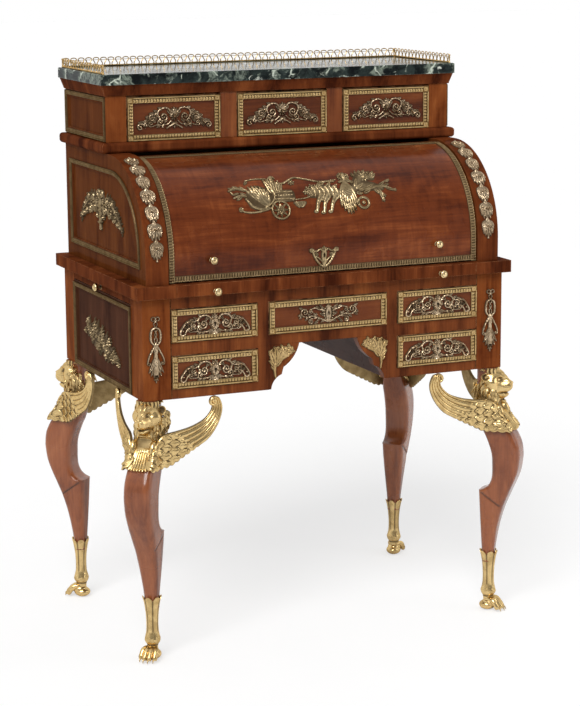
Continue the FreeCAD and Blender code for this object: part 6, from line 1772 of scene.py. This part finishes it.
def sabotPaw():
    # heel, instep, arched toes with knuckles, a tendon over each toe, and claws
    s0 = sabotShape["pawS"]
    parts = [ball((s0 - 8, 0, 11), (18, 17, 10.9), 14, 20), ball((s0 - 2, 0, 17), (17, 15.5, 11), 14, 20)]
    count = sabotShape["toes"]
    for number in range(count):
        share = (number + 0.5) / count - 0.5
        t = 40 * share
        reach = 27 - 22 * share**2 * 2
        path = evenly([(s0 - 10, 0.45 * t, 24), (s0 + 2, 0.75 * t, 25), (s0 + 0.55 * reach, 0.95 * t, 20),
                       (s0 + 0.85 * reach, t, 11), (s0 + 0.95 * reach, t, 6.2)], 18)
        along, sizes = (0, 0.25, 0.5, 0.7, 0.88, 1), (3.6, 5.2, 6.6, 5.6, 6.2, 4.6)
        parts.append(tube(path, np.interp(np.linspace(0, 1, 18), along, sizes), 14, (0.1, 1, 0), 0.95))
        claw = evenly([(s0 + 0.98 * reach, t, 9), (s0 + reach + 4.5, t, 7), (s0 + reach + 6.5, t, 2)], 9)
        parts.append(tube(claw, np.linspace(2.6, 0.5, 9), 9, (0, 1, 0), 1.0, 0.1))
    for part in parts:
        part["points"][:, 2] = np.maximum(part["points"][:, 2], 0.2)
        # darker close to the floor: painted contact shadow
        low = np.exp(-(part["points"][:, 2] / 5)**2)
        part["dirtAndShade"] = np.maximum(part["dirtAndShade"], 0.5 * low)
    return [moved(part, onCorner) for part in parts]


legPart, lionParts, sabotParts = legShell(), lionShells(), [sabotSock(), *sabotPaw()]
for cornerName, signs in corners.items():
    makePiece("monopodium_" + cornerName, toCorner([legPart], signs), [woods["leg"]], "case",
              ("leg_" + cornerName,))
    makePiece("lion_bust_" + cornerName, toCorner(lionParts, signs), [gilts["pale"]], "case",
              ("winged_lion_" + cornerName,), 60)
    makePiece("paw_sabot_" + cornerName, toCorner(sabotParts, signs), [gilts["pale"]], "case",
              ("sabot_" + cornerName,), 60)
print("legs, lions and sabots made")

# gallery: a meandering wire between a foot rail and a thin binding wire, on three sides of the marble
fence = {"x": 400, "front": -20, "back": 253, "floor": 1187.9, "pitch": 16.9, "bulge": 4.2, "rise": 8.6,
         "weave": 0.8, "middle": 1198.2, "wire": 1.1, "rail": 1.6, "bindUp": 3.6, "bind": 0.55}


def fenceRun(start, end):
    # along = pitch * turn / 2 pi + bulge * sin(2 turn), up = middle - rise * cos(turn): rows of horseshoes
    start, end = np.asarray(start, float), np.asarray(end, float)
    length = np.linalg.norm(end - start)
    way = (end - start) / length
    count = round(length / fence["pitch"])
    turn = np.linspace(0, tau * count, 26 * count + 1)
    side = np.array([-way[1], way[0]])
    weave = fence["weave"] * np.sin(turn)
    along = length * turn / turn[-1] + fence["bulge"] * np.sin(2 * turn)
    line = start + along[:, None] * way + weave[:, None] * side
    path = np.column_stack([line, fence["middle"] - fence["rise"] * np.cos(turn)])
    parts = [tube(path, fence["wire"], 7, (*side, 0.01))]
    foot, bind = fence["floor"] + fence["rail"], fence["middle"] + fence["bindUp"]
    for level, size in ((foot, fence["rail"]), (bind, fence["bind"])):
        rail = np.column_stack([np.linspace(start, end, 40), np.full(40, level)])
        parts.append(tube(rail, size, 8))
    return parts


fenceParts = []
for sign in (-1, 1):
    fenceParts += fenceRun((sign * fence["x"], fence["front"]), (sign * fence["x"], fence["back"]))
    for y in (fence["front"], fence["back"]):
        post = [(2.2, 0), (2.2, 1.5), (1.4, 2.5), (1.4, 15), (2.1, 16), (2.1, 17.5), (1.2, 18.6), (0.2, 19.2)]
        fenceParts.append(turned(post, 12, (sign * fence["x"], y, fence["floor"]), (0, 0, 1)))
fenceParts += fenceRun((-fence["x"], fence["back"]), (fence["x"], fence["back"]))
makePiece("gallery_wire", fenceParts, [gilts["frame"]], "case", ("gallery",))

# painted gap shadow: thin near-black lines round the drawer openings, beside the stiles and under the fall
jointLine = {"wide": 1.7, "proud": 0.25, "deep": 0.3, "bevel": 0.1, "stileX": 348, "stileZ": (548.5, 756.4)}


def lineBox(low, high, y):
    # a thin box between two corners on the front at y
    front, back = y - jointLine["proud"], y + jointLine["deep"]
    return bevelBox((low[0], front, low[1]), (high[0], back, high[1]), jointLine["bevel"])


def ringOfLines(x0, x1, z0, z1, y):
    # four thin boxes round a rectangle on the front
    w = jointLine["wide"]
    spans = (((x0 - w, z0 - w), (x1 + w, z0)), ((x0 - w, z1), (x1 + w, z1 + w)), ((x0 - w, z0), (x0, z1)),
             ((x1, z0), (x1 + w, z1)))
    return [lineBox(low, high, y) for low, high in spans]


lines = []
for drawerName in drawerKinds:
    low, high = boxOf("drawer_" + drawerName)
    lines += ringOfLines(low[0], high[0], low[2], high[2], low[1])
for sign in (-1, 1):
    stile, half = sign * jointLine["stileX"], jointLine["wide"] / 2
    foot, top = jointLine["stileZ"]
    lines.append(lineBox((stile - half, foot), (stile + half, top), -desk["halfDepth"]))
makePiece("joint_lines", lines, [woods["joint"]], "case")
# a near-black strip at the foot of the fall: painted shadow of the gap above the writing slide
fallGapShadow = {"half": 348.5, "foot": 782.9, "top": 785, "proud": 0.3, "deep": 1}
gapFront = desk["axisY"] - desk["fallRadius"]
gapStrip = bevelBox((-fallGapShadow["half"], gapFront - fallGapShadow["proud"], fallGapShadow["foot"]),
               (fallGapShadow["half"], gapFront + fallGapShadow["deep"], fallGapShadow["top"]), jointLine["bevel"])
makePiece("fall_gap_shadow", [gapStrip], [woods["joint"]], "fall")

# side slides: a bevelled board with a turned knob on its end
slideBoard = {"low": (44, -183, 736.7), "high": (409, 183, 753.2), "bevel": 1.0, "knobZ": 744.95}
board = bevelBox(slideBoard["low"], slideBoard["high"], slideBoard["bevel"])
knob = knobAt((slideBoard["high"][0], 0, slideBoard["knobZ"]), (1, 0, 0))
for sideName, sign in sides:
    parts = [(toSide(part, sign), k) for k, part in enumerate((board, knob))]
    makePiece("pull_slide_" + sideName, parts, [woods["board"], gilts["knob"]], sideName + "_slide",
              ("side_slide_" + sideName,), 30)
print("gallery and side slides made")
